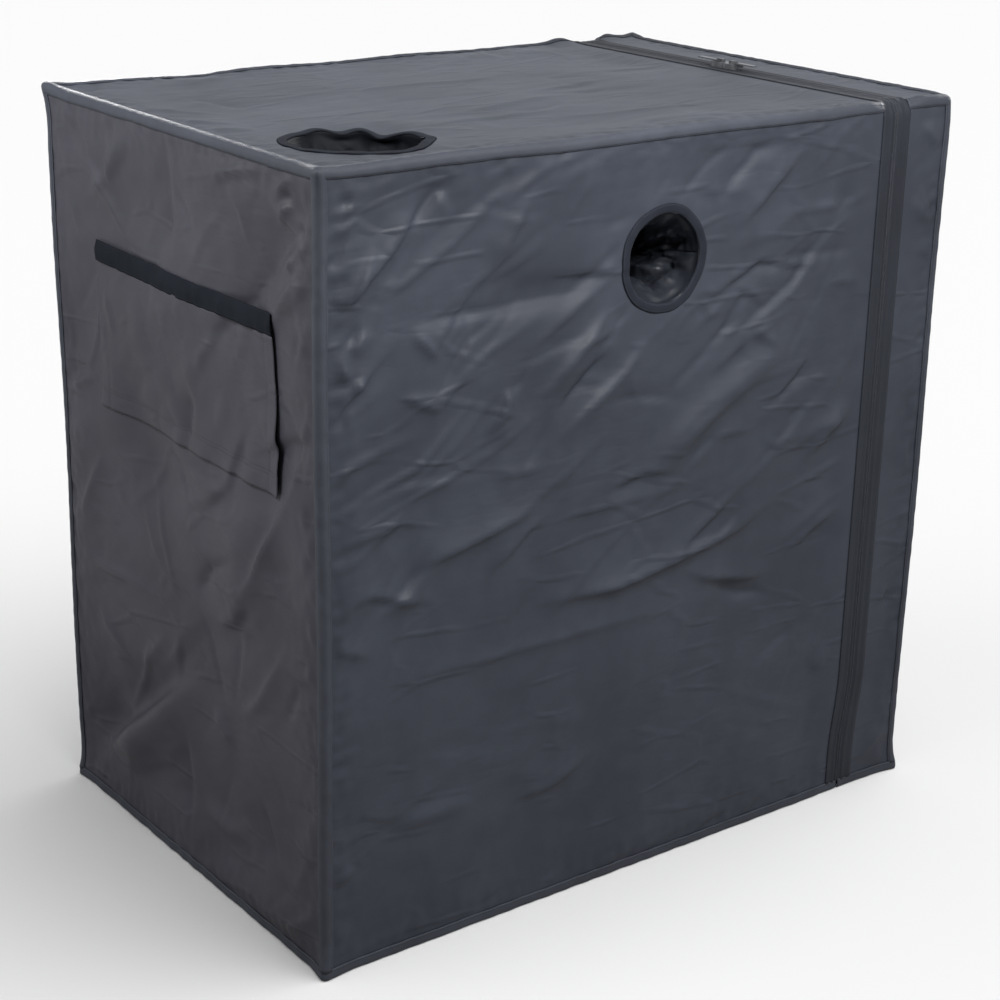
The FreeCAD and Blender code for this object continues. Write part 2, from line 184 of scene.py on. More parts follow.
def looseFolds(seed, count, area, lean, spread, length, height, width):
    # many small creases that lean about one way, in millimetres
    rng = np.random.default_rng(seed)
    folds = []
    for _ in range(count):
        x = rng.uniform(area[0], area[1])
        y = rng.uniform(area[2], area[3])
        turn = math.radians(lean + rng.normal() * spread)
        half = rng.uniform(*length) / 2
        bend = rng.normal() * half * 0.16
        dx, dy = math.cos(turn), math.sin(turn)
        start = (x - dx * half, y - dy * half)
        middle = (x - dy * bend, y + dx * bend)
        line = [start, middle, (x + dx * half, y + dy * half)]
        kind = ("crisp", "crisp", "soft", "step")[rng.integers(4)]
        folds.append((kind, rng.uniform(*height) * rng.choice([1, 1, -1]), rng.uniform(*width), line))
    return folds


# folds of each face: kind, height, width and line, in millimetres

frontFolds = [
    ("crisp", -2.6, 11, [(-360, 728), (-200, 727), (-60, 731)]),
    ("crisp", -2.4, 11, [(90, 729), (210, 727), (330, 730)]),
    ("crisp", 1.5, 9, [(-400, 332), (-150, 329), (100, 331)]),
    ("crisp", 4.2, 12, [(-186, 378), (-50, 376), (50, 391), (143, 407), (179, 425), (243, 436)]),
    ("crisp", 3.0, 10, [(57, 370), (93, 354), (150, 340), (207, 329)]),
    ("crisp", -2.6, 10, [(93, 346), (150, 318), (214, 306)]),
    ("crisp", 2.8, 10, [(221, 350), (264, 379), (329, 407)]),
    ("crisp", 4.2, 12, [(-450, 750), (-407, 771), (-364, 807), (-307, 871)]),
    ("crisp", -3.4, 11, [(-343, 821), (-279, 886)]),
    ("crisp", 2.6, 11, [(-236, 768), (-179, 857)]),
    ("soft", -2.8, 26, [(-250, 745), (-150, 740), (-60, 748)]),
    ("crisp", 4.4, 14, [(-64, 714), (-114, 671), (-179, 607)]),
    ("crisp", -3.2, 12, [(-64, 664), (-150, 593)]),
    ("crisp", 3.2, 11, [(-7, 671), (-50, 629), (-143, 564)]),
    ("crisp", 3.4, 8, [(-189, 639), (-211, 632), (-218, 614), (-236, 593), (-239, 579)]),
    ("crisp", 2.2, 8, [(-350, 654), (-307, 634), (-279, 634)]),
    ("crisp", 2.0, 9, [(-336, 721), (-293, 679)]),
    ("crisp", 2.0, 9, [(-429, 696), (-386, 664)]),
    ("crisp", 1.8, 8, [(-229, 543), (-150, 539)]),
    ("crisp", 2.2, 10, [(-436, 504), (-343, 514), (-307, 507)]),
    ("crisp", 3.6, 14, [(-343, 455), (-179, 495), (-143, 503)]),
    ("crisp", 2.6, 10, [(-236, 429), (-179, 475), (-136, 489)]),
    ("crisp", 2.6, 10, [(-429, 432), (-386, 443), (-343, 425), (-293, 414)]),
    ("crisp", 1.8, 8, [(-443, 393), (-379, 371)]),
    ("soft", 4.6, 24, [(-21, 486), (50, 546), (86, 571), (143, 600), (193, 621), (236, 657)]),
    ("crisp", 2.2, 10, [(143, 650), (193, 625)]),
    ("crisp", 1.6, 9, [(79, 532), (164, 530)]),
    ("soft", 3.2, 18, [(236, 471), (336, 557)]),
    ("crisp", 1.8, 9, [(264, 693), (332, 686)]),
    ("crisp", -3.0, 13, [(79, 807), (136, 857), (190, 871)]),
    ("crisp", 3.0, 12, [(109, 771), (214, 864)]),
    ("crisp", -2.0, 10, [(264, 779), (307, 793)]),
    ("soft", 2.0, 15, [(-370, 157), (-235, 157)]),
    ("crisp", 2.0, 11, [(-200, 139), (-129, 146), (-57, 179)]),
    ("crisp", 1.8, 10, [(289, 175), (321, 211)]),
    ("crisp", 2.2, 10, [(-436, 107), (-407, 129)]),
    ("crisp", 2.6, 9, [(393, 871), (439, 832)]),
    ("soft", 2.4, 12, [(382, 779), (410, 760), (436, 750)]),
    ("crisp", 2.4, 10, [(379, 21), (429, 71)]),
    ("crisp", 2.4, 9, [(-446, 20), (-415, 62)]),
]
frontFolds += looseFolds(3, 60, (-435, 325, 400, 875), 28, 15, (90, 270), (0.5, 1.6), (5, 9))
frontFolds += looseFolds(6, 30, (-435, 325, 470, 875), 22, 34, (40, 90), (0.4, 0.9), (4, 6))
frontFolds += looseFolds(4, 16, (-430, 320, 40, 400), 16, 24, (90, 240), (0.3, 0.7), (8, 16))
frontFolds += looseFolds(5, 18, (-446, -396, 640, 890), 40, 24, (18, 50), (1.0, 2.2), (4, 7))
frontFolds += looseFolds(7, 12, (382, 440, 60, 880), 60, 30, (24, 60), (0.8, 1.8), (5, 9))

leftFolds = [
    ("crisp", -2.4, 9, [(12, 900), (12, 740)]),
    ("crisp", -2.0, 9, [(12, 186), (12, 29)]),
    ("crisp", -6.0, 20, [(-293, 864), (-221, 793), (-164, 743), (-121, 714), (-43, 636)]),
    ("crisp", 4.2, 18, [(-297, 820), (-230, 752), (-180, 700)]),
    ("crisp", -4.0, 14, [(-29, 614), (-14, 557), (-7, 521)]),
    ("step", 12.0, 24, [(264, 50), (165, 120), (60, 205), (-29, 268)]),
    ("crisp", 3.6, 12, [(-50, 232), (-100, 196)]),
    ("crisp", 3.4, 14, [(129, 214), (57, 286)]),
    ("crisp", 2.6, 12, [(229, 264), (157, 211)]),
    ("crisp", 3.8, 12, [(286, 325), (170, 326), (50, 330), (29, 357)]),
    ("crisp", -3.4, 13, [(-14, 357), (-57, 407), (-129, 443)]),
    ("crisp", 4.4, 11, [(-107, 371), (-157, 429), (-193, 486), (-243, 557), (-271, 629), (-293, 686)]),
    ("crisp", 3.4, 13, [(-100, 236), (-157, 279), (-200, 336), (-229, 379)]),
    ("crisp", 2.6, 12, [(293, 539), (193, 571)]),
    ("crisp", 3.6, 15, [(300, 364), (250, 386), (193, 486)]),
    ("crisp", 4.0, 14, [(236, 857), (164, 793), (107, 746)]),
    ("crisp", 3.6, 13, [(157, 793), (146, 836), (100, 879)]),
    ("crisp", 3.2, 7, [(-7, 512), (-58, 506), (-114, 512)]),
    ("crisp", -2.6, 10, [(-150, 157), (-200, 86)]),
    ("soft", 2.8, 16, [(-14, 93), (-86, 88), (-157, 110)]),
    ("crisp", 3.6, 12, [(-214, 21), (-293, 79)]),
    ("soft", -5.0, 60, [(150, 620), (60, 480), (110, 380)]),
    ("soft", 4.5, 55, [(-180, 560), (-120, 420), (-60, 300)]),
    ("soft", 4.5, 60, [(200, 160), (90, 70)]),
]
leftFolds += looseFolds(11, 34, (-285, 285, 30, 880), -42, 20, (80, 240), (0.6, 2.0), (6, 11))
leftFolds += looseFolds(12, 14, (-280, 280, 30, 870), 44, 20, (60, 180), (0.6, 1.8), (6, 11))
leftFolds += looseFolds(13, 12, (-296, -230, 690, 880), -48, 20, (20, 60), (1.2, 2.6), (5, 8))

topFolds = [
    ("crisp", 2.8, 11, [(-200, -93), (-143, -89), (-50, -71), (50, -46), (157, -25)]),
    ("crisp", 2.6, 11, [(-114, -164), (-21, -161), (7, -171), (193, -175), (264, -168)]),
    ("crisp", 2.8, 12, [(-200, 125), (-107, 100), (-21, 93), (50, 100), (136, 129)]),
    ("crisp", -3.4, 15, [(-343, 171), (-300, 50)]),
    ("crisp", -5.0, 15, [(-436, 229), (-386, 286)]),
    ("crisp", 3.4, 13, [(-307, 235), (-214, 264)]),
    ("crisp", 2.2, 9, [(-436, -40), (-370, -75)]),
    ("crisp", 2.4, 9, [(-440, 20), (-372, -35)]),
    ("crisp", -2.2, 9, [(-442, 70), (-360, 5)]),
    ("crisp", 2.4, 9, [(-440, 110), (-350, 40)]),
]
topFolds += looseFolds(21, 42, (-430, 310, -275, 275), 6, 13, (90, 260), (0.6, 1.9), (7, 12))
topFolds += looseFolds(22, 14, (110, 320, 180, 280), 70, 18, (30, 70), (0.8, 1.8), (6, 10))

backFolds = looseFolds(31, 44, (-420, 310, 60, 860), -32, 28, (60, 190), (1.0, 3.2), (8, 18))
backFolds += [
    ("crisp", -2.4, 11, [(-400, 728), (-30, 729), (330, 728)]),
    ("crisp", 2.0, 10, [(-400, 330), (-20, 331), (330, 329)]),
    ("crisp", 4.0, 13, [(-430, 860), (-300, 740), (-210, 690)]),
]
doorFolds = looseFolds(41, 40, (-270, 270, 60, 860), 40, 32, (60, 180), (0.9, 3.0), (8, 18))
doorFolds += [
    ("crisp", -2.4, 11, [(-280, 730), (0, 728), (280, 729)]),
    ("crisp", 2.2, 10, [(-280, 331), (0, 330), (280, 332)]),
    ("crisp", -1.8, 9, [(-4, 890), (-4, 20)]),
    ("crisp", 4.0, 14, [(285, 860), (180, 760), (110, 650)]),
    ("crisp", 4.0, 14, [(-285, 60), (-190, 150), (-120, 270)]),
]

cloth = {
    "front": {"folds": frontFolds, "strength": 2.6, "sag": 0.0050, "seed": 101, "lean": 0.6,
              "broad": 0.0010, "facet": 0.0020, "fine": 0.0002},
    "back": {"folds": backFolds, "strength": 1.3, "sag": 0.0055, "seed": 201, "lean": -0.5,
             "broad": 0.0012, "facet": 0.0030, "fine": 0.0003},
    "left": {"folds": leftFolds, "strength": 1.6, "sag": 0.0050, "seed": 301, "lean": -0.8,
             "broad": 0.0015, "facet": 0.0032, "fine": 0.0003},
    "right": {"folds": doorFolds, "strength": 1.3, "sag": 0.0055, "seed": 401, "lean": 0.7,
              "broad": 0.0012, "facet": 0.0032, "fine": 0.0003},
    "top": {"folds": topFolds, "strength": 0.75, "sag": 0.0026, "seed": 501, "lean": 0.1,
            "broad": 0.0007, "facet": 0.0018, "fine": 0.0002},
}


def zipDistance(face, u):
    return np.abs(u - skin["zip"]) if face in ("front", "back", "top") else np.full_like(u, 9.0)


def faceHeight(face, u, v):
    # how far the cloth stands out from its flat plane
    u = np.asarray(u, float)
    v = np.asarray(v, float)
    u, v = np.broadcast_arrays(u, v)
    u = u.copy()
    v = v.copy()
    values = cloth[face]
    uLow, uHigh, vLow, vHigh = faces[face]["span"]
    edge = np.minimum(np.minimum(u - uLow, uHigh - u), np.minimum(v - vLow, vHigh - v))
    bowl = smooth(edge, 0.020, 0.10)
    fade = smooth(edge, 0.007, 0.032)
    height = np.zeros_like(u)
    for fold in values["folds"]:
        height += foldHeight(u, v, fold)
    seed = values["seed"]
    height = height * values["strength"]
    height += values["broad"] * ripple(u, v, seed, 0.24, values["lean"], 1.8)
    height += values["facet"] * facets(u, v, seed + 10, 0.105, values["lean"], 1.7)
    height += values["facet"] * 0.42 * facets(u, v, seed + 20, 0.047, values["lean"] + 0.3, 1.4)
    height += values["fine"] * creased(u, v, seed + 1, 0.06, values["lean"], 2.2)
    height = height * fade
    for port, where in ((frontPort, "front"), (topPort, "top")):
        if face == where:
            # the ring's stitching holds the cloth flat around a port
            away = np.hypot(u - port["at"][0], v - port["at"][1])
            height = height * (0.22 + 0.78 * smooth(away, port["ring"], port["ring"] + 0.030))
    height -= values["sag"] * bowl
    # small gathers where the cloth is sewn into its binding
    near = np.exp(-edge / 0.020) * smooth(edge, 0.009, 0.017)
    height += near * 0.0016 * ripple(u, v, seed + 3, 0.026)
    zipNear = smooth(zipDistance(face, u), 0.024, 0.075)
    height = height * zipNear + (1 - zipNear) * (0 if face == "top" else -0.0006)
    # the poles lie close behind the cloth near each edge
    low = -0.0030 - 0.022 * smooth(edge, 0.024, 0.05)
    if face == "top":
        # the roof lies over the two hanging bars
        for bar in ("hanging_bar_left", "hanging_bar_right"):
            away = np.abs(u - centreOf(bar).x)
            low = np.maximum(low, barTop + 0.0010 - skin["top"] + 0.0008 - 0.05 * smooth(away, 0.009, 0.11))
    return np.maximum(height, low)


def portSlump(u, v):
    # the roof port's rim buckles: how far a point near it moves along x and y, and down
    cx, cy = topPort["at"]
    dx = u - cx
    dy = v - cy
    away = np.hypot(dx, dy)
    turn = np.arctan2(dy, dx)
    reach = np.exp(-(np.maximum(away - topPort["hole"], 0) / 0.026) ** 2) * smooth(away, 0.03, 0.06)
    farRight = np.exp(-((turn - 0.75) / 0.55) ** 2)
    nearRight = np.exp(-((turn + 0.80) / 0.60) ** 2)
    nearLeft = np.exp(-((turn + 2.3) / 0.5) ** 2)
    finger = np.cos(turn * 9 + 0.6) * np.exp(-((turn - 0.9) / 0.75) ** 2)
    inward = 0.011 * farRight + 0.013 * nearRight + 0.004 * nearLeft + 0.005 * finger
    down = -0.0050 * farRight + 0.0025 * nearRight + 0.002 * nearLeft - 0.0030 * finger
    safe = np.maximum(away, 1e-6)
    return -dx / safe * inward * reach, -dy / safe * inward * reach, down * reach


def settle(points):
    # corner tips, and the small wander of the sewn edges
    p = points.copy()
    for sx in (-1, 1):
        for sy in (-1, 1):
            for z in (0.0, 0.9):
                corner = np.array([sx * 0.45, sy * 0.3, z])
                weight = np.exp(-(np.linalg.norm(points - corner, axis=1) / 0.021) ** 2)
                reach = 0.0045 if (sx, sy, z) != (1, -1, 0.9) else -0.0015
                p[:, 0] += sx * reach * weight
                p[:, 1] += sy * reach * weight
                p[:, 2] += (0.004 if z else 0) * weight * (1 if reach > 0 else -0.5)
    backTop = np.exp(-(((points[:, 1] - 0.3) / 0.022) ** 2 + ((points[:, 2] - 0.9) / 0.022) ** 2))
    x = points[:, 0]
    lift = 0.0052 * np.exp(-((x - 0.315) / 0.022) ** 2) + 0.0060 * np.exp(-((x - 0.392) / 0.024) ** 2)
    lift -= 0.0030 * np.exp(-((x + 0.25) / 0.05) ** 2)
    lift += 0.0012 * np.sin(x * 26) * np.exp(-((x + 0.05) / 0.3) ** 2)
    p[:, 2] += backTop * lift
    frontTop = np.exp(-(((points[:, 1] + 0.3) / 0.02) ** 2 + ((points[:, 2] - 0.9) / 0.02) ** 2))
    p[:, 2] += frontTop * 0.0012 * np.sin(x * 19 + 0.7)
    fromSide = (np.abs(points[:, 0]) - 0.45) / 0.02
    fromFront = (np.abs(points[:, 1]) - 0.3) / 0.02
    upright = np.exp(-(fromSide ** 2 + fromFront ** 2))
    p[:, 0] += upright * 0.0014 * np.sin(points[:, 2] * 11 + points[:, 1] * 9)
    return p


def place(face, u, v, lift=0.0):
    # points of a face, round its edges, at a height above its cloth
    plane = faces[face]
    u = np.asarray(u, float).ravel()
    v = np.asarray(v, float).ravel()
    lift = np.broadcast_to(np.asarray(lift, float).ravel(), u.shape)
    height = lift + faceHeight(face, u, v)
    across = u
    if face == "front":
        kink = -0.0115 * (1 - smooth(v, 0.05, 0.17)) * np.exp(-((u - skin["zip"]) / 0.05) ** 2)
        across = u + kink
    along = v
    if face == "top":
        du, dv, dz = portSlump(u, v)
        across = u + du
        along = v + dv
        height = height + dz
    at = np.array(plane["at"])[None, :]
    points = at + across[:, None] * np.array(plane["u"]) + along[:, None] * np.array(plane["v"])
    zipSide = 0 if face in ("left", "right") else 1
    radius = skin["cornerRound"] + (skin["zipRound"] - skin["cornerRound"]) * zipSide * np.exp(
        -((across - skin["zip"]) / 0.034) ** 4
    )
    low = np.array([skin["left"], skin["front"], -1.0])[None, :] + radius[:, None]
    high = np.array([skin["right"], skin["back"], skin["top"]])[None, :] - radius[:, None]
    inner = np.clip(points, low, high)
    out = points - inner
    out /= np.linalg.norm(out, axis=1)[:, None]
    return settle(inner + out * (radius + height)[:, None])


# sheets of cloth from a grid
def gridPiece(name, uSpan, vSpan, step, shape, outward, cuts=(), weld=0.0):
    # shape turns grid positions in metres into points; the grid keeps them as its UV map
    bm = bmesh.new()
    uStep, vStep = step if isinstance(step, tuple) else (step, step)
    nu = max(1, round((uSpan[1] - uSpan[0]) / uStep))
    nv = max(1, round((vSpan[1] - vSpan[0]) / vStep))
    bmesh.ops.create_grid(bm, x_segments=nu, y_segments=nv, size=1)
    for vert in bm.verts:
        vert.co.x = uSpan[0] + (vert.co.x + 1) / 2 * (uSpan[1] - uSpan[0])
        vert.co.y = vSpan[0] + (vert.co.y + 1) / 2 * (vSpan[1] - vSpan[0])
    for cut in cuts:
        cutHole(bm, cut, max(uStep, vStep))
    mesh = bpy.data.meshes.new(name)
    bm.to_mesh(mesh)
    bm.free()
    flat = np.zeros(len(mesh.vertices) * 3)
    mesh.vertices.foreach_get("co", flat)
    flat = flat.reshape(-1, 3)
    loops = np.zeros(len(mesh.loops), dtype=np.int32)
    mesh.loops.foreach_get("vertex_index", loops)
    uvMap = mesh.uv_layers.new(name="cloth")
    uvMap.data.foreach_set("uv", flat[loops, :2].astype(np.float32).ravel())
    mesh.vertices.foreach_set("co", shape(flat[:, 0], flat[:, 1]).astype(np.float32).ravel())
    mesh.update()
    total = sum((face.normal * face.area for face in mesh.polygons), Vector())
    if callable(outward):
        total = sum((face.normal.dot(outward(face.center)) * face.area for face in mesh.polygons))
        wrong = total < 0
    else:
        wrong = total.dot(Vector(outward)) < 0
    if wrong or weld:
        bm = bmesh.new()
        bm.from_mesh(mesh)
        if weld:
            bmesh.ops.remove_doubles(bm, verts=bm.verts, dist=weld)
        if wrong:
            bmesh.ops.reverse_faces(bm, faces=bm.faces)
        bm.to_mesh(mesh)
        bm.free()
    mesh.polygons.foreach_set("use_smooth", [True] * len(mesh.polygons))
    # a piece that takes the name of its CAD node would be renamed by Blender
    piece = bpy.data.objects.new(f"{name}_sewn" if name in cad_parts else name, mesh)
    bpy.context.scene.collection.objects.link(piece)
    return piece


def cutHole(bm, cut, step):
    kind = cut[0]
    if kind == "round":
        centre = Vector((cut[1], cut[2], 0))
        for vert in bm.verts:
            away = vert.co - centre
            if abs(away.length - cut[3]) < step * 0.75 and away.length > 1e-6:
                vert.co = centre + away.normalized() * cut[3]
        inside = [f for f in bm.faces if (f.calc_center_median() - centre).length < cut[3] - step * 0.2]
    else:
        uLow, uHigh, vLow, vHigh = cut[1:]
        for vert in bm.verts:
            for low, high, axis, other in ((uLow, uHigh, 0, (vLow, vHigh)), (vLow, vHigh, 1, (uLow, uHigh))):
                across = vert.co[1 - axis]
                if other[0] - step < across < other[1] + step:
                    for line in (low, high):
                        if abs(vert.co[axis] - line) < step * 0.5:
                            vert.co[axis] = line
        inside = []
        for face in bm.faces:
            middle = face.calc_center_median()
            if uLow < middle.x < uHigh and vLow < middle.y < vHigh:
                inside.append(face)
    bmesh.ops.delete(bm, geom=inside, context="FACES")


def thicken(piece, thickness, inner=False):
    solid = piece.modifiers.new("thickness", "SOLIDIFY")
    solid.thickness = thickness
    solid.offset = -1
    solid.use_rim = True
    if inner:
        solid.material_offset = 1


def finish(piece, materials, body, slot, *nodes):
    for material in materials:
        piece.data.materials.append(material)
    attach(piece, body)
    if nodes:
        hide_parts(*nodes)
    return piece


# materials
class Value:
    # a socket that takes part in sums, each adding its Math node
    def __init__(self, paint, socket):
        self.paint = paint
        self.socket = socket

    def __add__(self, other):
        return self.paint.maths("ADD", self, other)

    def __radd__(self, other):
        return self.paint.maths("ADD", other, self)

    def __sub__(self, other):
        return self.paint.maths("SUBTRACT", self, other)

    def __rsub__(self, other):
        return self.paint.maths("SUBTRACT", other, self)

    def __mul__(self, other):
        return self.paint.maths("MULTIPLY", self, other)

    def __rmul__(self, other):
        return self.paint.maths("MULTIPLY", other, self)

    def __truediv__(self, other):
        return self.paint.maths("DIVIDE", self, other)


class Paint:
    def __init__(self, name):
        self.material = bpy.data.materials.new(name)
        self.material.use_nodes = True
        self.tree = self.material.node_tree
        self.shader = self.tree.nodes["Principled BSDF"]

    def node(self, kind, settings=(), values=(), out=0):
        made = self.tree.nodes.new(kind)
        for key, value in dict(settings).items():
            setattr(made, key, value)
        for key, value in dict(values).items():
            self.give(made.inputs[key], value)
        return Value(self, made.outputs[out])

    def give(self, socket, value):
        if isinstance(value, Value):
            self.tree.links.new(value.socket, socket)
        else:
            socket.default_value = value

    def maths(self, operation, a, b=0.0, c=None):
        values = {0: a, 1: b}
        if c is not None:
            values[2] = c
        return self.node("ShaderNodeMath", {"operation": operation}, values)

    def blendColours(self, share, first, second):
        made = self.tree.nodes.new("ShaderNodeMix")
        made.data_type = "RGBA"
        self.give(made.inputs[0], share)
        self.give(made.inputs[6], (*first, 1) if isinstance(first, tuple) else first)
        self.give(made.inputs[7], (*second, 1) if isinstance(second, tuple) else second)
        return Value(self, made.outputs[2])

    def between(self, value, low, high):
        return self.node(
            "ShaderNodeMapRange", {"interpolation_type": "SMOOTHSTEP"},
            {"Value": value, "From Min": low, "From Max": high, "To Min": 0.0, "To Max": 1.0},
        )

    def noise(self, where, scale, detail=3.0, roughness=0.55):
        return self.node(
            "ShaderNodeTexNoise", {"noise_dimensions": "3D"},
            {"Vector": where, "Scale": scale, "Detail": detail, "Roughness": roughness},
        )

    def place(self):
        return self.node("ShaderNodeTexCoord", out="Object")

    def bent(self, where, scale, amount):
        push = self.node(
            "ShaderNodeTexNoise", {"noise_dimensions": "3D"}, {"Vector": where, "Scale": scale}, 1,
        )
        return self.node(
            "ShaderNodeVectorMath", {"operation": "MULTIPLY_ADD"},
            {0: push, 1: (amount, amount, amount), 2: where},
        )

    def clothPlace(self):
        uv = self.node("ShaderNodeUVMap", {"uv_map": "cloth"})
        split = self.tree.nodes.new("ShaderNodeSeparateXYZ")
        self.tree.links.new(uv.socket, split.inputs[0])
        return uv, Value(self, split.outputs[0]), Value(self, split.outputs[1])

    def bump(self, height, distance, strength=1.0, after=None):
        values = {"Height": height, "Distance": distance, "Strength": strength}
        if after is not None:
            values["Normal"] = after
        return self.node("ShaderNodeBump", {}, values)

    def use(self, **values):
        for key, value in values.items():
            self.give(self.shader.inputs[key.replace("_", " ")], value)


def weaveHeight(paint, u, v, pitch):
    warp = paint.maths("SINE", u * (2 * math.pi / pitch))
    weft = paint.maths("SINE", v * (2 * math.pi / pitch))
    return warp * weft * 0.5 + 0.5


def stitchMask(paint, along, across, lines, pitch=0.0032, width=0.00055):
    # rows of short stitches beside a seam; where their colour is darker than the cloth, as on the binding
    # and sill tapes, they are also painted shadow lines along the edges
    mask = None
    beat = paint.maths("FRACT", along / pitch)
    dash = paint.between(beat, 0.12, 0.22) * (1 - paint.between(beat, 0.72, 0.82))
    for line in lines:
        near = 1 - paint.between(paint.maths("ABSOLUTE", across - line), width * 0.5, width)
        row = near * dash
        mask = row if mask is None else paint.maths("MAXIMUM", mask, row)
    return mask


def clothMaterial(name, values, stitches=None):
    paint = Paint(name)
    uv, u, v = paint.clothPlace()
    place = paint.place()
    broad = paint.noise(place, 5.0, 3.0)
    middle = paint.noise(place, 34.0, 4.0, 0.6)
    grain = paint.noise(place, 1500.0, 2.0, 0.7)
    weave = weaveHeight(paint, u, v, values["pitch"])
    share = paint.between(broad * 0.55 + middle * 0.25 + grain * 0.2, 0.36, 0.66)
    colour = paint.blendColours(share, values["dark"], values["light"])
    colour = paint.blendColours(weave * values["weaveTint"], colour, values["thread"])
    rough = values["rough"] + (middle - 0.5) * 0.10 + (grain - 0.5) * 0.10
    patch = paint.between(paint.noise(place, 3.6, 1.0), 0.46, 0.64)
    leaned = paint.node(
        "ShaderNodeMapping", {},
        {"Vector": uv, "Rotation": (0, 0, -values["lean"]), "Scale": (7.0, 21.0, 1.0)},
    )
    crinkle = paint.maths("ABSOLUTE", paint.noise(leaned, 1.0, 3.0, 0.5) - 0.5) * (patch * 0.75 + 0.25)
    normal = paint.bump(crinkle, values["crinkle"])
    cells = paint.node(
        "ShaderNodeTexVoronoi", {"feature": "DISTANCE_TO_EDGE", "voronoi_dimensions": "2D"},
        {"Vector": paint.bent(leaned, 1.1, 0.38), "Scale": 1.0, "Randomness": 1.0},
    )
    ridge = (1 - paint.between(cells, 0.0, 0.11)) * paint.between(paint.noise(place, 9.0, 2.0), 0.47, 0.60)
    normal = paint.bump(ridge, values["ridge"], 1.0, normal)
    normal = paint.bump(weave * 0.6 + grain * 0.4, values["weaveDepth"], 0.7, normal)
    if stitches:
        mask = None
        for along, across, lines in stitches:
            row = stitchMask(paint, {"u": u, "v": v}[along], {"u": u, "v": v}[across], lines)
            mask = row if mask is None else paint.maths("MAXIMUM", mask, row)
        colour = paint.blendColours(mask * 0.8, colour, values["stitch"])
        normal = paint.bump(mask, 0.0004, 0.8, normal)
    paint.use(Base_Color=colour, Roughness=rough, Normal=normal)
    paint.use(Sheen_Weight=values["sheen"], Sheen_Roughness=0.45, Specular_IOR_Level=values["gloss"])
    return paint.material


def plainMaterial(name, colour, light, rough, metallic=0.0, scale=60.0, depth=0.0001, wear=0.3, gloss=0.5):
    paint = Paint(name)
    place = paint.place()
    patch = paint.noise(place, scale, 4.0)
    speck = paint.noise(place, scale * 9, 2.0)
    paint.use(
        Base_Color=paint.blendColours(paint.between(patch, 0.35, 0.7) * wear, colour, light),
        Roughness=rough + (patch - 0.5) * 0.16 + (speck - 0.5) * 0.06,
        Normal=paint.bump(speck, depth, 0.6),
        Metallic=metallic,
        Specular_IOR_Level=gloss,
    )
    return paint.material


oxford = {
    "dark": (0.0130, 0.0150, 0.0205), "light": (0.0200, 0.0230, 0.0305), "thread": (0.031, 0.035, 0.046),
    "stitch": (0.012, 0.013, 0.017), "rough": 0.54, "lean": 0.55, "pitch": 0.0008, "weaveDepth": 0.00006,
    "weaveTint": 0.18, "crinkle": 0.0036, "ridge": 0.0008, "sheen": 0.0, "gloss": 0.13,
}
# the stitch colour, darker than the tape, draws the stitch rows of the binding and sill tapes and also
# stands as painted shadow lines along their edges
tape = dict(
    oxford, dark=(0.0165, 0.0182, 0.0235), light=(0.0255, 0.0285, 0.0360), thread=(0.038, 0.042, 0.052),
    stitch=(0.010, 0.011, 0.015), rough=0.62, pitch=0.0014, weaveDepth=0.00018, crinkle=0.0004, ridge=0.0,
    sheen=0.0, gloss=0.11,
)
# darker than the wall cloth: painted shade inside the duct ports
portSleeveShadedCloth = dict(
    oxford, dark=(0.0040, 0.0048, 0.0068), light=(0.0095, 0.0110, 0.0145), thread=(0.014, 0.016, 0.020),
    rough=0.36, crinkle=0.0012, gloss=0.32, sheen=0.0,
)
# the same cloth as the other walls, tinted warmer for the left end and its vent flap: painted warm light on
# that face; its lean is that face's own crease direction
leftOxfordWarmLit = dict(
    oxford, dark=(0.0152, 0.0150, 0.0195), light=(0.0235, 0.0230, 0.0295), thread=(0.036, 0.035, 0.044),
    lean=-0.75,
)
oxfordCloth = clothMaterial("oxford cloth", oxford)
leftClothWarmLit = clothMaterial("left end oxford cloth, tinted as painted warm light", leftOxfordWarmLit)
# dark stitch rows near both edges: stitches, and painted shadow lines where the binding meets the cloth
bindingTape = clothMaterial("binding tape", tape, [("u", "v", (-0.0082, 0.0082))])
# the same dark stitch row near the sill's upper edge: stitch and painted shadow line
sillTape = clothMaterial("sill binding", tape, [("u", "v", (0.0085,))])
ringTape = clothMaterial("ring binding", dict(
    tape, dark=(0.0040, 0.0046, 0.0070), light=(0.0085, 0.0096, 0.0130),
    stitch=(0.020, 0.022, 0.028), rough=0.75, gloss=0.03), [("u", "v", (0.0018, 0.0096))])
headerTape = clothMaterial("vent header tape", dict(
    tape, dark=(0.0020, 0.0026, 0.0036), light=(0.0042, 0.0052, 0.0068),
    rough=0.8, gloss=0.015), [("u", "v", (0.7140, 0.7340))])
# the flap takes the left end's warmer tint, which is painted light
flapCloth = clothMaterial(
    "vent flap cloth", leftOxfordWarmLit, [("v", "u", (-0.185, 0.169)), ("u", "v", (0.556, 0.560))])
zipCloth = clothMaterial("zip tape", dict(
    tape, dark=(0.0052, 0.0062, 0.0086), light=(0.0090, 0.0106, 0.0140),
    stitch=(0.020, 0.023, 0.030)), [("u", "v", (-0.0205, 0.0205))])
# darkened as painted shade inside the front port
portSleeveShadedMaterial = clothMaterial("sleeve cloth", portSleeveShadedCloth)
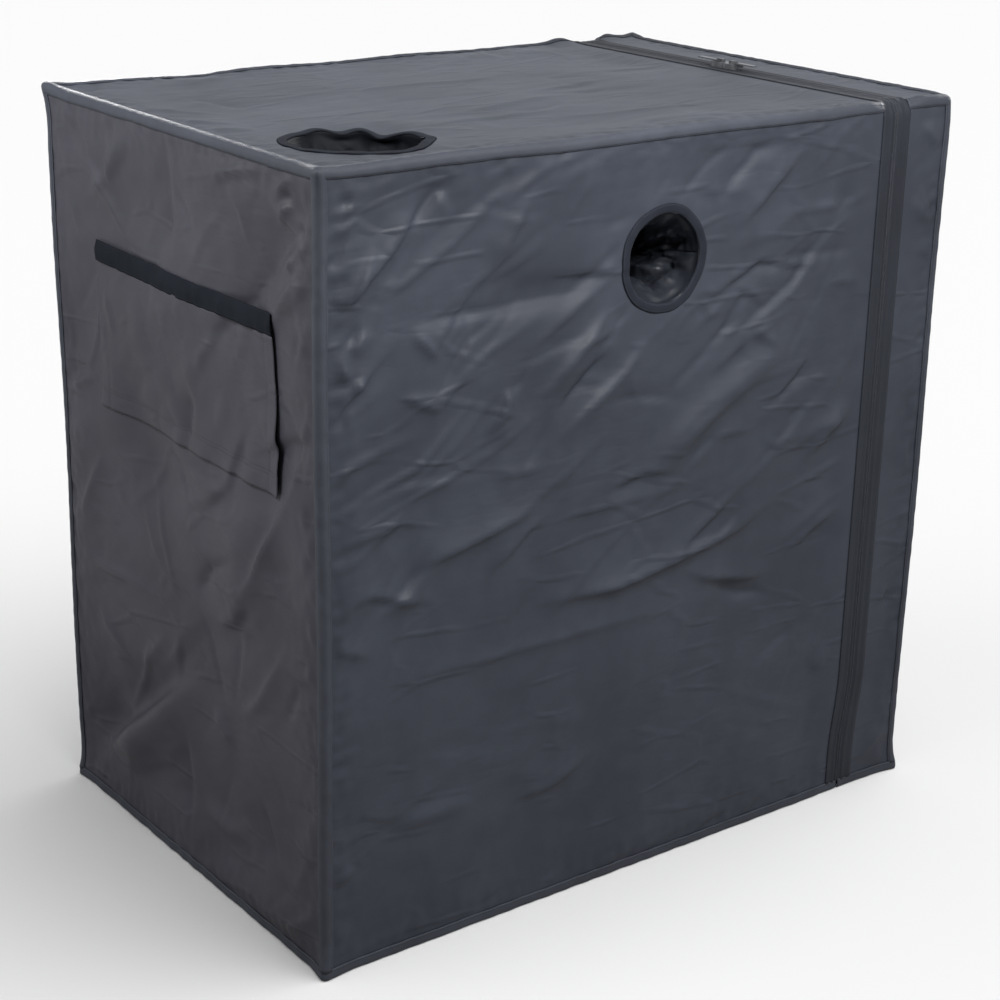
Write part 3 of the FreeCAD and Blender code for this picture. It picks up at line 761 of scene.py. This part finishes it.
# darker still: painted shade deep inside the roof port
roofSleeveDeepShade = clothMaterial("roof port sleeve, darkened as painted shade", dict(
    portSleeveShadedCloth, dark=(0.0014, 0.0018, 0.0026), light=(0.0036, 0.0042, 0.0056),
    thread=(0.006, 0.007, 0.009), rough=0.62, gloss=0.05))
hookLoop = plainMaterial(
    "hook and loop", (0.007, 0.007, 0.009), (0.018, 0.018, 0.022), 0.9, 0, 400, 0.0008, 0.8, 0.1,
)
coilPlastic = plainMaterial(
    "zip coil", (0.009, 0.0105, 0.014), (0.018, 0.0205, 0.026), 0.66, 0, 300, 0.00005, 0.5, 0.16,
)
tubeEnamel = plainMaterial(
    "tube enamel", (0.50, 0.50, 0.49), (0.60, 0.60, 0.59), 0.40, 0, 22, 0.00006, 0.6,
)
cornerPlastic = plainMaterial(
    "corner plastic", (0.020, 0.020, 0.022), (0.045, 0.045, 0.048), 0.48, 0, 40, 0.0002,
)
zipMetal = plainMaterial(
    "zip metal", (0.045, 0.048, 0.052), (0.09, 0.092, 0.098), 0.42, 0.6, 120, 0.00006, 0.6,
)


def liningMaterial():
    # reflective film on the inside of the walls, in a small diamond emboss
    paint = Paint("reflective lining")
    uv, u, v = paint.clothPlace()
    place = paint.place()
    cross = paint.maths("SINE", (u + v) * (2 * math.pi / 0.006))
    cross = cross * paint.maths("SINE", (u - v) * (2 * math.pi / 0.006))
    crease = paint.maths("ABSOLUTE", paint.noise(place, 22.0, 5.0) - 0.5)
    normal = paint.bump(cross, 0.0003, 0.6, paint.bump(crease, 0.003))
    paint.use(
        Base_Color=paint.blendColours(paint.noise(place, 9.0), (0.30, 0.31, 0.33), (0.42, 0.43, 0.45)),
        Roughness=0.46 + crease * 0.5, Metallic=0.45, Normal=normal,
    )
    return paint.material


def meshMaterial():
    # insect mesh: threads with open squares between them
    paint = Paint("vent mesh")
    uv, u, v = paint.clothPlace()
    pitch = 0.0016
    a = paint.maths("ABSOLUTE", paint.maths("FRACT", u / pitch + 40) - 0.5)
    b = paint.maths("ABSOLUTE", paint.maths("FRACT", v / pitch + 40) - 0.5)
    thread = paint.maths("MAXIMUM", paint.between(a, 0.30, 0.36), paint.between(b, 0.30, 0.36))
    speck = paint.noise(paint.place(), 300.0)
    paint.use(
        Base_Color=paint.blendColours(speck, (0.015, 0.015, 0.018), (0.03, 0.03, 0.034)),
        Roughness=0.6 + (speck - 0.5) * 0.1, Alpha=thread,
    )
    return paint.material


lining = liningMaterial()
ventNet = meshMaterial()
print("materials made")

# camera

viewpoint = {"at": (-1.5103, -2.0058, 1.2947), "azimuth": -37.07, "rise": 19.98, "roll": 1.15, "lens": 75.8}


def makeCamera():
    azimuth, rise, roll = (math.radians(viewpoint[k]) for k in ("azimuth", "rise", "roll"))
    back = Vector((math.sin(azimuth) * math.cos(rise), -math.cos(azimuth) * math.cos(rise), math.sin(rise)))
    right = Vector((0, 0, 1)).cross(back).normalized()
    up = back.cross(right)
    rightRolled = right * math.cos(roll) + up * math.sin(roll)
    upRolled = up * math.cos(roll) - right * math.sin(roll)
    turn = Matrix((rightRolled, upRolled, back)).transposed().to_4x4()
    data = bpy.data.cameras.new("camera")
    data.lens = viewpoint["lens"]
    data.clip_end = 900
    camera = bpy.data.objects.new("camera", data)
    camera.matrix_world = Matrix.Translation(viewpoint["at"]) @ turn
    bpy.context.scene.collection.objects.link(camera)
    bpy.context.scene.camera = camera


makeCamera()

# the cloth panels

panels = {"thickness": 0.0008, "step": 0.0042, "coarse": 0.006, "overlap": 0.006, "foot": 0.0012}
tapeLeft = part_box("zip_tape_fixed")[0].x
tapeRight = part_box("zip_tape_door")[1].x
wallTop = skin["top"]
hem = panels["overlap"]
rimSpan = (tapeRight - hem, skin["right"])
windowLow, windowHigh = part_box("vent_mesh")
window = ("box", windowLow.y + 0.012, windowHigh.y - 0.012, windowLow.z + 0.012, windowHigh.z - 0.012)
walls = [
    ("front_cloth", "front", (skin["left"], tapeLeft + hem), (panels["foot"], wallTop), panels["step"],
     [("round", *frontPort["at"], frontPort["hole"] + 0.004)], "tent", "front_panel"),
    ("back_cloth", "back", (skin["left"], tapeLeft + hem), (panels["foot"], wallTop), panels["coarse"],
     [], "tent", "back_panel"),
    ("left_cloth", "left", (skin["front"], skin["back"]), (panels["foot"], wallTop), panels["step"],
     [window], "tent", "left_panel"),
    ("top_cloth", "top", (skin["left"], tapeLeft + hem), (skin["front"], skin["back"]), panels["step"],
     [("round", *topPort["at"], topPort["hole"] + 0.004)], "tent", "top_panel"),
    ("door_cloth", "right", (skin["front"], skin["back"]), (panels["foot"] + 0.001, wallTop), 0.005,
     [], "door", "door_end_panel"),
    ("door_front_cloth", "front", rimSpan, (panels["foot"] + 0.001, wallTop), panels["step"],
     [], "door", "door_front_rim"),
    ("door_back_cloth", "back", rimSpan, (panels["foot"] + 0.001, wallTop), panels["step"],
     [], "door", "door_back_rim"),
    ("door_top_cloth", "top", rimSpan, (skin["front"], skin["back"]), panels["step"],
     [], "door", "door_top_rim"),
]
clothPieces = {}
for name, face, uSpan, vSpan, step, cuts, body, node in walls:
    def shape(u, v, face=face):
        return place(face, u, v)
    piece = gridPiece(name, uSpan, vSpan, step, shape, faces[face]["out"], cuts)
    thicken(piece, panels["thickness"], True)
    # the left end gets the copy of the cloth tinted warmer as painted light
    outer = leftClothWarmLit if face == "left" else oxfordCloth
    finish(piece, [outer, lining], body, "oxford_cloth", node)
    clothPieces[name] = (piece, uSpan, vSpan, cuts)
print("wall and roof cloth made")

floorLow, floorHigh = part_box("floor_panel")


def floorShape(u, v):
    z = 0.0011 + 0.0004 * ripple(u, v, 71, 0.12)
    return np.stack([u, v, np.clip(z, 0.0009, 0.0019)], axis=1)


floorCloth = gridPiece(
    "floor_cloth", (floorLow.x, floorHigh.x), (floorLow.y, floorHigh.y), 0.010, floorShape, (0, 0, 1),
)
thicken(floorCloth, 0.0008)
finish(floorCloth, [lining], "tent", "oxford_cloth", "floor_panel")

# edge bindings

binding = {"leg": 0.0104, "proud": 0.0024, "thickness": 0.0009, "step": 0.004, "foot": 0.0095, "lap": 0.002}

edges = {
    "frontLeft": (
        ("left", lambda e, d: (skin["front"] + d, e)),
        ("front", lambda e, d: (skin["left"] + d, e)),
    ),
    "backLeft": (
        ("left", lambda e, d: (skin["back"] - d, e)),
        ("back", lambda e, d: (skin["left"] + d, e)),
    ),
    "frontRight": (
        ("front", lambda e, d: (skin["right"] - d, e)),
        ("right", lambda e, d: (skin["front"] + d, e)),
    ),
    "backRight": (
        ("back", lambda e, d: (skin["right"] - d, e)),
        ("right", lambda e, d: (skin["back"] - d, e)),
    ),
    "topLeft": (
        ("left", lambda e, d: (e, wallTop - d)),
        ("top", lambda e, d: (skin["left"] + d, e)),
    ),
    "topRight": (
        ("right", lambda e, d: (e, wallTop - d)),
        ("top", lambda e, d: (skin["right"] - d, e)),
    ),
    "topFront": (
        ("front", lambda e, d: (e, wallTop - d)),
        ("top", lambda e, d: (e, skin["front"] + d)),
    ),
    "topBack": (
        ("back", lambda e, d: (e, wallTop - d)),
        ("top", lambda e, d: (e, skin["back"] - d)),
    ),
}


def bindingShape(edge, seed):
    (faceA, mapA), (faceB, mapB) = edges[edge]

    def shape(e, t):
        wide = 1 + 0.03 * ripple(e, e * 0, seed, 0.09)
        d = np.abs(t) * wide
        proud = binding["proud"] - 0.0014 * smooth(np.abs(t), 0.0070, binding["leg"])
        proud = proud + 0.00014 * ripple(e, t, seed + 1, 0.022)
        points = np.zeros((len(e), 3))
        onA = t < 0
        for mask, face, edgeMap in ((onA, faceA, mapA), (~onA, faceB, mapB)):
            if mask.any():
                u, v = edgeMap(e[mask], d[mask])
                points[mask] = place(face, u, v, proud[mask])
        return points
    return shape


def bindingPiece(name, edge, span, seed, body, *nodes):
    outs = [Vector(faces[edges[edge][k][0]]["out"]) for k in (0, 1)]
    leg = binding["leg"]
    step = (binding["step"], leg / 9)
    piece = gridPiece(name, span, (-leg, leg), step, bindingShape(edge, seed), outs[0] + outs[1])
    thicken(piece, binding["thickness"])
    finish(piece, [bindingTape], body, "binding_tape", *nodes)
    return piece


uprightSpan = (binding["foot"], wallTop)
acrossSpan = (skin["front"], skin["back"])
tentSpan = (skin["left"], tapeLeft + binding["lap"])
doorSpan = (tapeRight - binding["lap"], skin["right"])
bindings = [
    bindingPiece("binding_front_left", "frontLeft", uprightSpan, 601, "tent", "binding_front_left"),
    bindingPiece("binding_back_left", "backLeft", uprightSpan, 603, "tent", "binding_back_left"),
    bindingPiece("binding_top_left", "topLeft", acrossSpan, 605, "tent", "binding_top_left"),
    bindingPiece("binding_top_front", "topFront", tentSpan, 607, "tent", "binding_top_front"),
    bindingPiece("binding_top_back", "topBack", tentSpan, 609, "tent", "binding_top_back"),
]
doorBindings = [
    bindingPiece("door_binding_front", "frontRight", uprightSpan, 611, "door", "door_front_binding"),
    bindingPiece("door_binding_back", "backRight", uprightSpan, 613, "door", "door_back_binding"),
    bindingPiece("door_binding_top", "topRight", acrossSpan, 615, "door", "door_top_binding"),
    bindingPiece("door_binding_top_front", "topFront", doorSpan, 617, "door"),
    bindingPiece("door_binding_top_back", "topBack", doorSpan, 619, "door"),
]


def sillShape(runs):
    # runs: face, start and end along it, one after another round the foot of the tent
    def shape(e, t):
        points = np.zeros((len(e), 3))
        gone = 0.0
        for face, start, end in runs:
            length = abs(end - start)
            mask = (e >= gone - 1e-9) & (e <= gone + length + 1e-9)
            if mask.any():
                u = start + (e[mask] - gone) * (1 if end > start else -1)
                under = np.minimum(t[mask], 0)
                up = np.maximum(t[mask], 0) + 0.0005
                proud = 0.0020 - 0.0008 * smooth(t[mask], 0.007, 0.011)
                proud = proud + 0.0003 * ripple(e[mask], e[mask] * 0, 91, 0.03)
                points[mask] = place(face, u, up, proud + under)
            gone += length
        return points
    return shape


def sillPiece(name, runs, body, node):
    length = sum(abs(end - start) for _, start, end in runs)
    piece = gridPiece(
        name, (0, length), (-0.005, 0.011), (0.004, 0.0016), sillShape(runs),
        lambda at: Vector((at.x, at.y, 0)).normalized(),
    )
    thicken(piece, 0.0008)
    finish(piece, [sillTape], body, "binding_tape", node)
    return piece


floorBinding = sillPiece("floor_binding", [
    ("front", tapeLeft + 0.021, skin["left"]), ("left", skin["front"], skin["back"]),
    ("back", skin["left"], tapeLeft + 0.021)], "tent", "floor_binding")
doorSill = sillPiece("door_sill_binding", [
    ("front", tapeRight - 0.021, skin["right"]), ("right", skin["front"], skin["back"]),
    ("back", skin["right"], tapeRight - 0.021)], "door", "door_sill_binding")
print("bindings made")

# the zip

zipper = {"foot": 0.010, "tooth": 0.0022, "step": 0.004}
zipRise = wallTop - zipper["foot"]
zipDepth = skin["back"] - skin["front"]
zipLength = 2 * zipRise + zipDepth


def zipPoints(e, across, lift):
    points = np.zeros((len(e), 3))
    onFront = e < zipRise
    onBack = e > zipRise + zipDepth
    onTop = ~onFront & ~onBack
    u = skin["zip"] + across
    if onFront.any():
        points[onFront] = place("front", u[onFront], zipper["foot"] + e[onFront], lift[onFront])
    if onTop.any():
        points[onTop] = place("top", u[onTop], skin["front"] + e[onTop] - zipRise, lift[onTop])
    if onBack.any():
        points[onBack] = place("back", u[onBack], wallTop - (e[onBack] - zipRise - zipDepth), lift[onBack])
    return points


def aroundTent(at):
    # the way the tent's skin faces where the zip passes
    if at.z > 0.89:
        return Vector((0, 0, 1))
    return Vector((0, 1 if at.y > 0 else -1, 0))


def tapeShape(e, across):
    away = np.abs(across)
    lift = 0.0010 + 0.0006 * np.exp(-((away - 0.0188) / 0.0026) ** 2)
    lift += 0.0007 * np.exp(-((away - 0.0085) / 0.0020) ** 2)
    lift -= 0.0007 * (1 - smooth(away, 0.0042, 0.0070))
    return zipPoints(e, across, lift)


def coilShape(shift):
    def shape(e, across):
        away = (np.abs(across) - 0.0019) / 0.0018
        crown = np.sqrt(np.clip(1 - away ** 2, 0, 1))
        tooth = 0.5 + 0.5 * np.sin(2 * math.pi * e / zipper["tooth"] + shift)
        lift = -0.0004 + crown * (0.0015 + 0.0006 * smooth(tooth, 0.3, 0.7))
        return zipPoints(e, across, lift)
    return shape


tapeWide = (tapeRight - tapeLeft) / 2
for side, body, span, shift in (
    ("fixed", "tent", (-tapeWide, -0.0006), 0.0), ("door", "door", (0.0006, tapeWide), math.pi),
):
    tapeStep = (zipper["step"], 0.0012)
    tapePiece = gridPiece(f"zip_tape_{side}", (0, zipLength), span, tapeStep, tapeShape, aroundTent)
    thicken(tapePiece, 0.0007)
    finish(tapePiece, [zipCloth], body, "zip_tape", f"zip_tape_{side}")
    coilSpan = (-0.0037, -0.0001) if side == "fixed" else (0.0001, 0.0037)
    coilStep = (0.00055, 0.0009)
    coil = gridPiece(f"zip_coil_{side}", (0, zipLength), coilSpan, coilStep, coilShape(shift), aroundTent)
    finish(coil, [coilPlastic], body, "zip_coil", f"zip_coil_{side}")
print("zip made")

# duct ports
def ringPiece(name, face, port, node):
    cx, cy = port["at"]
    middle = (port["ring"] + port["hole"]) / 2
    wide = port["ring"] - port["hole"]

    def shape(s, t):
        turn = s / middle
        radius = port["hole"] + t + 0.0005 * np.sin(turn * 5 + 1.2)
        lift = 0.0013 + 0.0006 * np.sin(np.clip(t / wide, 0, 1) * math.pi) + 0.0003 * np.sin(turn * 13)
        lift = lift - 0.0018 * (1 - smooth(t, 0, 0.0022)) - 0.0008 * smooth(t, wide - 0.0015, wide)
        return place(face, cx + radius * np.cos(turn), cy + radius * np.sin(turn), lift)

    piece = gridPiece(
        name, (0, 2 * math.pi * middle), (0, wide), (0.0035, 0.0012), shape, faces[face]["out"], weld=1e-6,
    )
    thicken(piece, 0.0008)
    finish(piece, [ringTape], "tent", "binding_tape", node)
    return piece


def sleevePiece(name, face, port, seed, length, sink, material, node):
    cx, cy = port["at"]
    radius = port["hole"] + 0.0008
    around = 2 * math.pi * radius
    inward = -Vector(faces[face]["out"])

    def shape(s, t):
        turn = s / radius
        depth = t / length
        folds = np.sin(turn * 5 + 2.2 * depth + 0.7 * np.sin(turn * 2)) * 0.5
        folds = folds + np.sin(turn * 8 - 3.0 * depth) * 0.3
        crumple = creased(np.cos(turn) * radius * 1.6, np.sin(turn) * radius * 1.6 + t * 0.9, seed, 0.072)
        crumple += 0.5 * creased(turn * radius, t, seed + 1, 0.024) * 0.8
        slack = smooth(depth, 0.02, 0.35)
        r = radius * (1 - sink["closing"] * depth ** 1.2) + slack * radius * (0.13 * folds + 0.12 * crumple)
        droop = sink["droop"] * smooth(depth, 0.0, 1.0)
        a = cx + r * np.cos(turn)
        b = cy + r * np.sin(turn) * (1 - sink["flatten"] * slack) - droop
        rim = place(face, cx + radius * np.cos(turn), cy + radius * np.sin(turn), 0.0)
        plane = faces[face]
        flat = np.array(plane["at"])[None, :] + a[:, None] * np.array(plane["u"])
        flat = flat + b[:, None] * np.array(plane["v"])
        flat = flat + np.array(inward)[None, :] * t[:, None]
        share = smooth(depth, 0.0, 0.12)[:, None]
        start = rim + np.array(inward)[None, :] * t[:, None]
        return start * (1 - share) + flat * share

    piece = gridPiece(
        name, (0, around), (0.0, length), (0.0030, 0.0032), shape,
        lambda at: axisAway(at, face, port), weld=1e-6,
    )
    thicken(piece, 0.0006)
    finish(piece, [material], "tent", "sleeve_cloth", node)
    return piece, (around, length)


def axisAway(at, face, port):
    # towards the axis: the sleeve's seen side is its inner one
    plane = faces[face]
    u = at.dot(Vector(plane["u"])) - port["at"][0]
    v = at.dot(Vector(plane["v"])) - port["at"][1]
    return -(Vector(plane["u"]) * u + Vector(plane["v"]) * v).normalized()


frontRing = ringPiece("port_ring_front", "front", frontPort, "port_ring_front")
topRing = ringPiece("port_ring_top", "top", topPort, "port_ring_top")
frontSleeve, frontSleeveFlat = sleevePiece(
    "port_sleeve_front", "front", frontPort, 801, 0.148,
    {"closing": 0.42, "flatten": 0.30, "droop": 0.020}, portSleeveShadedMaterial, "port_sleeve_front")
topSleeve, topSleeveFlat = sleevePiece(
    "port_sleeve_top", "top", topPort, 811, 0.148,
    {"closing": 0.50, "flatten": 0.20, "droop": 0.0}, roofSleeveDeepShade, "port_sleeve_top")
print("duct ports made")

# vent: mesh, strips, flap and its header tape

flapLow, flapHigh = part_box("vent_flap")
headerLow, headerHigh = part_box("vent_header_tape")
stripLow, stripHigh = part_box("vent_loop_strips")


def flapLift(u, v):
    # the flap hangs from its top, and its near lower corner has come loose
    down = smooth(flapHigh.z - v, 0.0, 0.17)
    loose = np.exp(-((u - flapLow.y) / 0.045) ** 2) * (0.2 + 0.8 * down)
    edgeFar = np.exp(-((u - flapHigh.y) / 0.03) ** 2) * down
    lift = 0.0030 + 0.0034 * loose + 0.0006 * edgeFar
    lift += 0.0010 * ripple(u, v, 901, 0.085) * (0.25 + 0.75 * down)
    lift += 0.0030 * facets(u, v, 905, 0.080, -0.8, 1.5) * (0.3 + 0.7 * down)
    for line in (-0.185, 0.169):
        lift -= 0.0007 * np.exp(-((u - line) / 0.0022) ** 2)
    lift -= 0.0007 * np.exp(-((v - 0.558) / 0.003) ** 2)
    return np.maximum(lift, 0.0030)


def flapShape(u, v):
    # it lies against the wall and takes up its folds
    points = place("left", u, v, 0.0)
    wall = skin["left"] - points[:, 0]
    x = skin["left"] - wall - flapLift(u, v)
    return np.stack([x, u, v], axis=1)


flap = gridPiece(
    "vent_flap", (flapLow.y, flapHigh.y), (flapLow.z, flapHigh.z), 0.0035, flapShape, (-1, 0, 0),
)
thicken(flap, 0.0008)
finish(flap, [flapCloth], "vent_flap", "oxford_cloth", "vent_flap")


def frameStrips(name, body, lift, node):
    # a strip down each side and one along the foot
    wide = 0.014
    inset = 0.012
    gap = 0.028
    base = stripLow.z + 0.006
    spans = [
        ((stripLow.y + inset, stripLow.y + inset + wide), (base, stripHigh.z)),
        ((stripHigh.y - inset - wide, stripHigh.y - inset), (base, stripHigh.z)),
        ((stripLow.y + gap, stripHigh.y - gap), (base, base + wide)),
    ]
    made = []
    for number, (uSpan, vSpan) in enumerate(spans):
        if body == "tent":
            def shape(u, v):
                return place("left", u, v, lift)
        else:
            def shape(u, v):
                points = flapShape(u, v)
                points[:, 0] += 0.0010
                return points
        out = (-1, 0, 0) if body == "tent" else (1, 0, 0)
        strip = gridPiece(f"{name}_{number + 1}", uSpan, vSpan, 0.004, shape, out)
        thicken(strip, 0.0007)
        finish(strip, [hookLoop], body, "hook_and_loop", *([node] if number == 0 else []))
        made.append(strip)
    return made


loopStrips = frameStrips("vent_loop_strip", "tent", 0.0009, "vent_loop_strips")
hookStrips = frameStrips("flap_hook_strip", "vent_flap", 0.0, "flap_hook_strips")


def netShape(u, v):
    points = place("left", u, v, 0.0)
    points[:, 0] += 0.0020 + 0.0010 * np.sin(u * 14) * np.sin((v - 0.6) * 20)
    return points


net = gridPiece(
    "vent_net", (windowLow.y, windowHigh.y), (windowLow.z, windowHigh.z), 0.005, netShape, (-1, 0, 0),
)
finish(net, [ventNet], "tent", "vent_mesh", "vent_mesh")


def headerShape(u, v):
    inTape = (v - headerLow.z) / (headerHigh.z - headerLow.z)
    lift = 0.0018 + 0.0014 * np.sin(np.clip(inTape, 0, 1) * math.pi) + 0.0004 * ripple(u, v, 931, 0.03)
    points = place("left", u, v, 0.0)
    wall = np.maximum(skin["left"] - points[:, 0], -0.004)
    x = skin["left"] - (wall * 0.9 + lift + 0.0016 * (1 - inTape))
    droop = -0.0015 * np.sin((u - headerLow.y) / (headerHigh.y - headerLow.y) * math.pi)
    return np.stack([x, u, v + droop], axis=1)


header = gridPiece(
    "vent_header", (headerLow.y, headerHigh.y), (headerLow.z, headerHigh.z), (0.004, 0.0016),
    headerShape, (-1, 0, 0),
)
thicken(header, 0.0012)
finish(header, [headerTape], "tent", "binding_tape", "vent_header_tape")
print("vent made")

# hard parts keep their shape and get their finish

hardFinishes = [
    (("pole_", "hanging_bar_"), tubeEnamel),
    (("corner_", "hanging_bar_clips"), cornerPlastic),
    (("zip_slider", "zip_pull"), zipMetal),
]
for name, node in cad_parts.items():
    for starts, hardMaterial in hardFinishes:
        if not name.startswith(starts):
            continue
        for slot in node.material_slots:
            slot.material = hardMaterial
        if not node.material_slots:
            node.data.materials.append(hardMaterial)
print("hard parts finished")

# the size each sheet was cut to, with the pieces and poles round it, worked out here and not used further

around = {
    "front_cloth": [bindings[0], bindings[3], frontRing],
    "left_cloth": [bindings[1], header] + loopStrips,
    "top_cloth": [bindings[2], bindings[4], topRing],
    "floor_cloth": [floorBinding],
    "door_cloth": doorBindings + [doorSill],
}
for name, (piece, uSpan, vSpan, cuts) in clothPieces.items():
    wide = uSpan[1] - uSpan[0]
    long = vSpan[1] - vSpan[0]
    area = wide * long
    for cut in cuts:
        area -= math.pi * cut[3] ** 2 if cut[0] == "round" else (cut[2] - cut[1]) * (cut[4] - cut[3])
    poles = ["pole_top_front", "pole_top_left"] if not name.startswith("door") else ["pole_top_right"]

# studio

studio = {
    "sky": 0.26, "floor": 0.93, "floorHalf": 300, "floorTop": -0.0010, "roofSun": 6.5, "roofSpread": 90,
}


def makeStudio():
    bm = bmesh.new()
    bmesh.ops.create_grid(bm, x_segments=1, y_segments=1, size=studio["floorHalf"])
    mesh = bpy.data.meshes.new("floor")
    bm.to_mesh(mesh)
    bm.free()
    floor = bpy.data.objects.new("floor", mesh)
    mesh.transform(Matrix.Translation((0, 0, studio["floorTop"])))
    bpy.context.scene.collection.objects.link(floor)
    paint = Paint("studio floor")
    paint.use(Base_Color=(studio["floor"],) * 3 + (1,), Roughness=0.9, Specular_IOR_Level=0.1)
    floor.data.materials.append(paint.material)
    world = bpy.data.worlds.new("studio")
    world.use_nodes = True
    world.node_tree.nodes["Background"].inputs[0].default_value = (1, 1, 1, 1)
    world.node_tree.nodes["Background"].inputs[1].default_value = studio["sky"]
    bpy.context.scene.world = world
    suns = [("sun_above", (0.35, -0.35, 1.0), 2.55, 70), ("sun_left", (-1.0, 0.35, 0.75), 0.40, 50)]
    for name, towards, power, spread in suns:
        data = bpy.data.lights.new(name, "SUN")
        data.energy = power
        data.angle = math.radians(spread)
        lamp = bpy.data.objects.new(name, data)
        lamp.matrix_world = Vector(towards).to_track_quat("Z", "Y").to_matrix().to_4x4()
        bpy.context.scene.collection.objects.link(lamp)
    # the floor is lit by the first two suns alone, and the roof by the suns and the lamp behind the tent
    lamps = [
        ("lamp_front_right", (1.6, -2.2, 1.5), (0.0, -0.3, 0.6), 0.7, 20, "walls"),
        ("lamp_over_front", (-0.1, -1.00, 1.42), (0.0, -0.3, 0.75), 0.45, 28, "walls"),
        ("lamp_over_left", (-1.20, 0.0, 1.40), (-0.45, 0.0, 0.75), 0.45, 24, "walls"),
        ("lamp_left_back", (-2.3, 1.7, 1.4), (-0.45, 0.0, 0.6), 0.7, 14, "walls"),
        ("lamp_back", (0.35, 2.30, 1.2), (0.1, 0.3, 0.5), 0.8, 80, "walls"),
        ("lamp_door", (2.6, 0.4, 1.3), (0.45, 0.0, 0.5), 0.8, 80, "walls"),
        ("lamp_behind", (3.4, 4.5, 2.7), (0.0, 0.0, 0.9), 5.0, 60, "tent"),
    ]
    roof = [clothPieces[name][0] for name in ("top_cloth", "door_top_cloth")] + [topRing]
    receivers = {}
    for lit, unlit in (("tent", [floor]), ("walls", [floor] + roof)):
        receivers[lit] = bpy.data.collections.new(f"outside the light of the {lit} lamps")
        for piece in unlit:
            receivers[lit].objects.link(piece)
        for member in receivers[lit].collection_objects:
            member.light_linking.link_state = "EXCLUDE"
    for name, at, towards, size, power, lit in lamps:
        data = bpy.data.lights.new(name, "AREA")
        data.shape = "DISK"
        data.size = size
        data.energy = power
        data.color = (0.90, 0.93, 1.0) if lit == "tent" else (1, 1, 1)
        lamp = bpy.data.objects.new(name, data)
        aim = (Vector(at) - Vector(towards)).to_track_quat("Z", "Y").to_matrix().to_4x4()
        lamp.matrix_world = Matrix.Translation(at) @ aim
        lamp.visible_camera = False
        bpy.context.scene.collection.objects.link(lamp)
        lamp.light_linking.receiver_collection = receivers[lit]
    # a soft light from straight above makes up to the roof what the walls get from their lamps
    receivers["roof"] = bpy.data.collections.new("inside the light of the roof sun")
    for piece in roof:
        receivers["roof"].objects.link(piece)
    data = bpy.data.lights.new("sun_roof", "SUN")
    data.energy = studio["roofSun"]
    data.angle = math.radians(studio["roofSpread"])
    lamp = bpy.data.objects.new("sun_roof", data)
    bpy.context.scene.collection.objects.link(lamp)
    lamp.light_linking.receiver_collection = receivers["roof"]
    bpy.context.scene.view_settings.view_transform = "Standard"


makeStudio()
print("studio made")
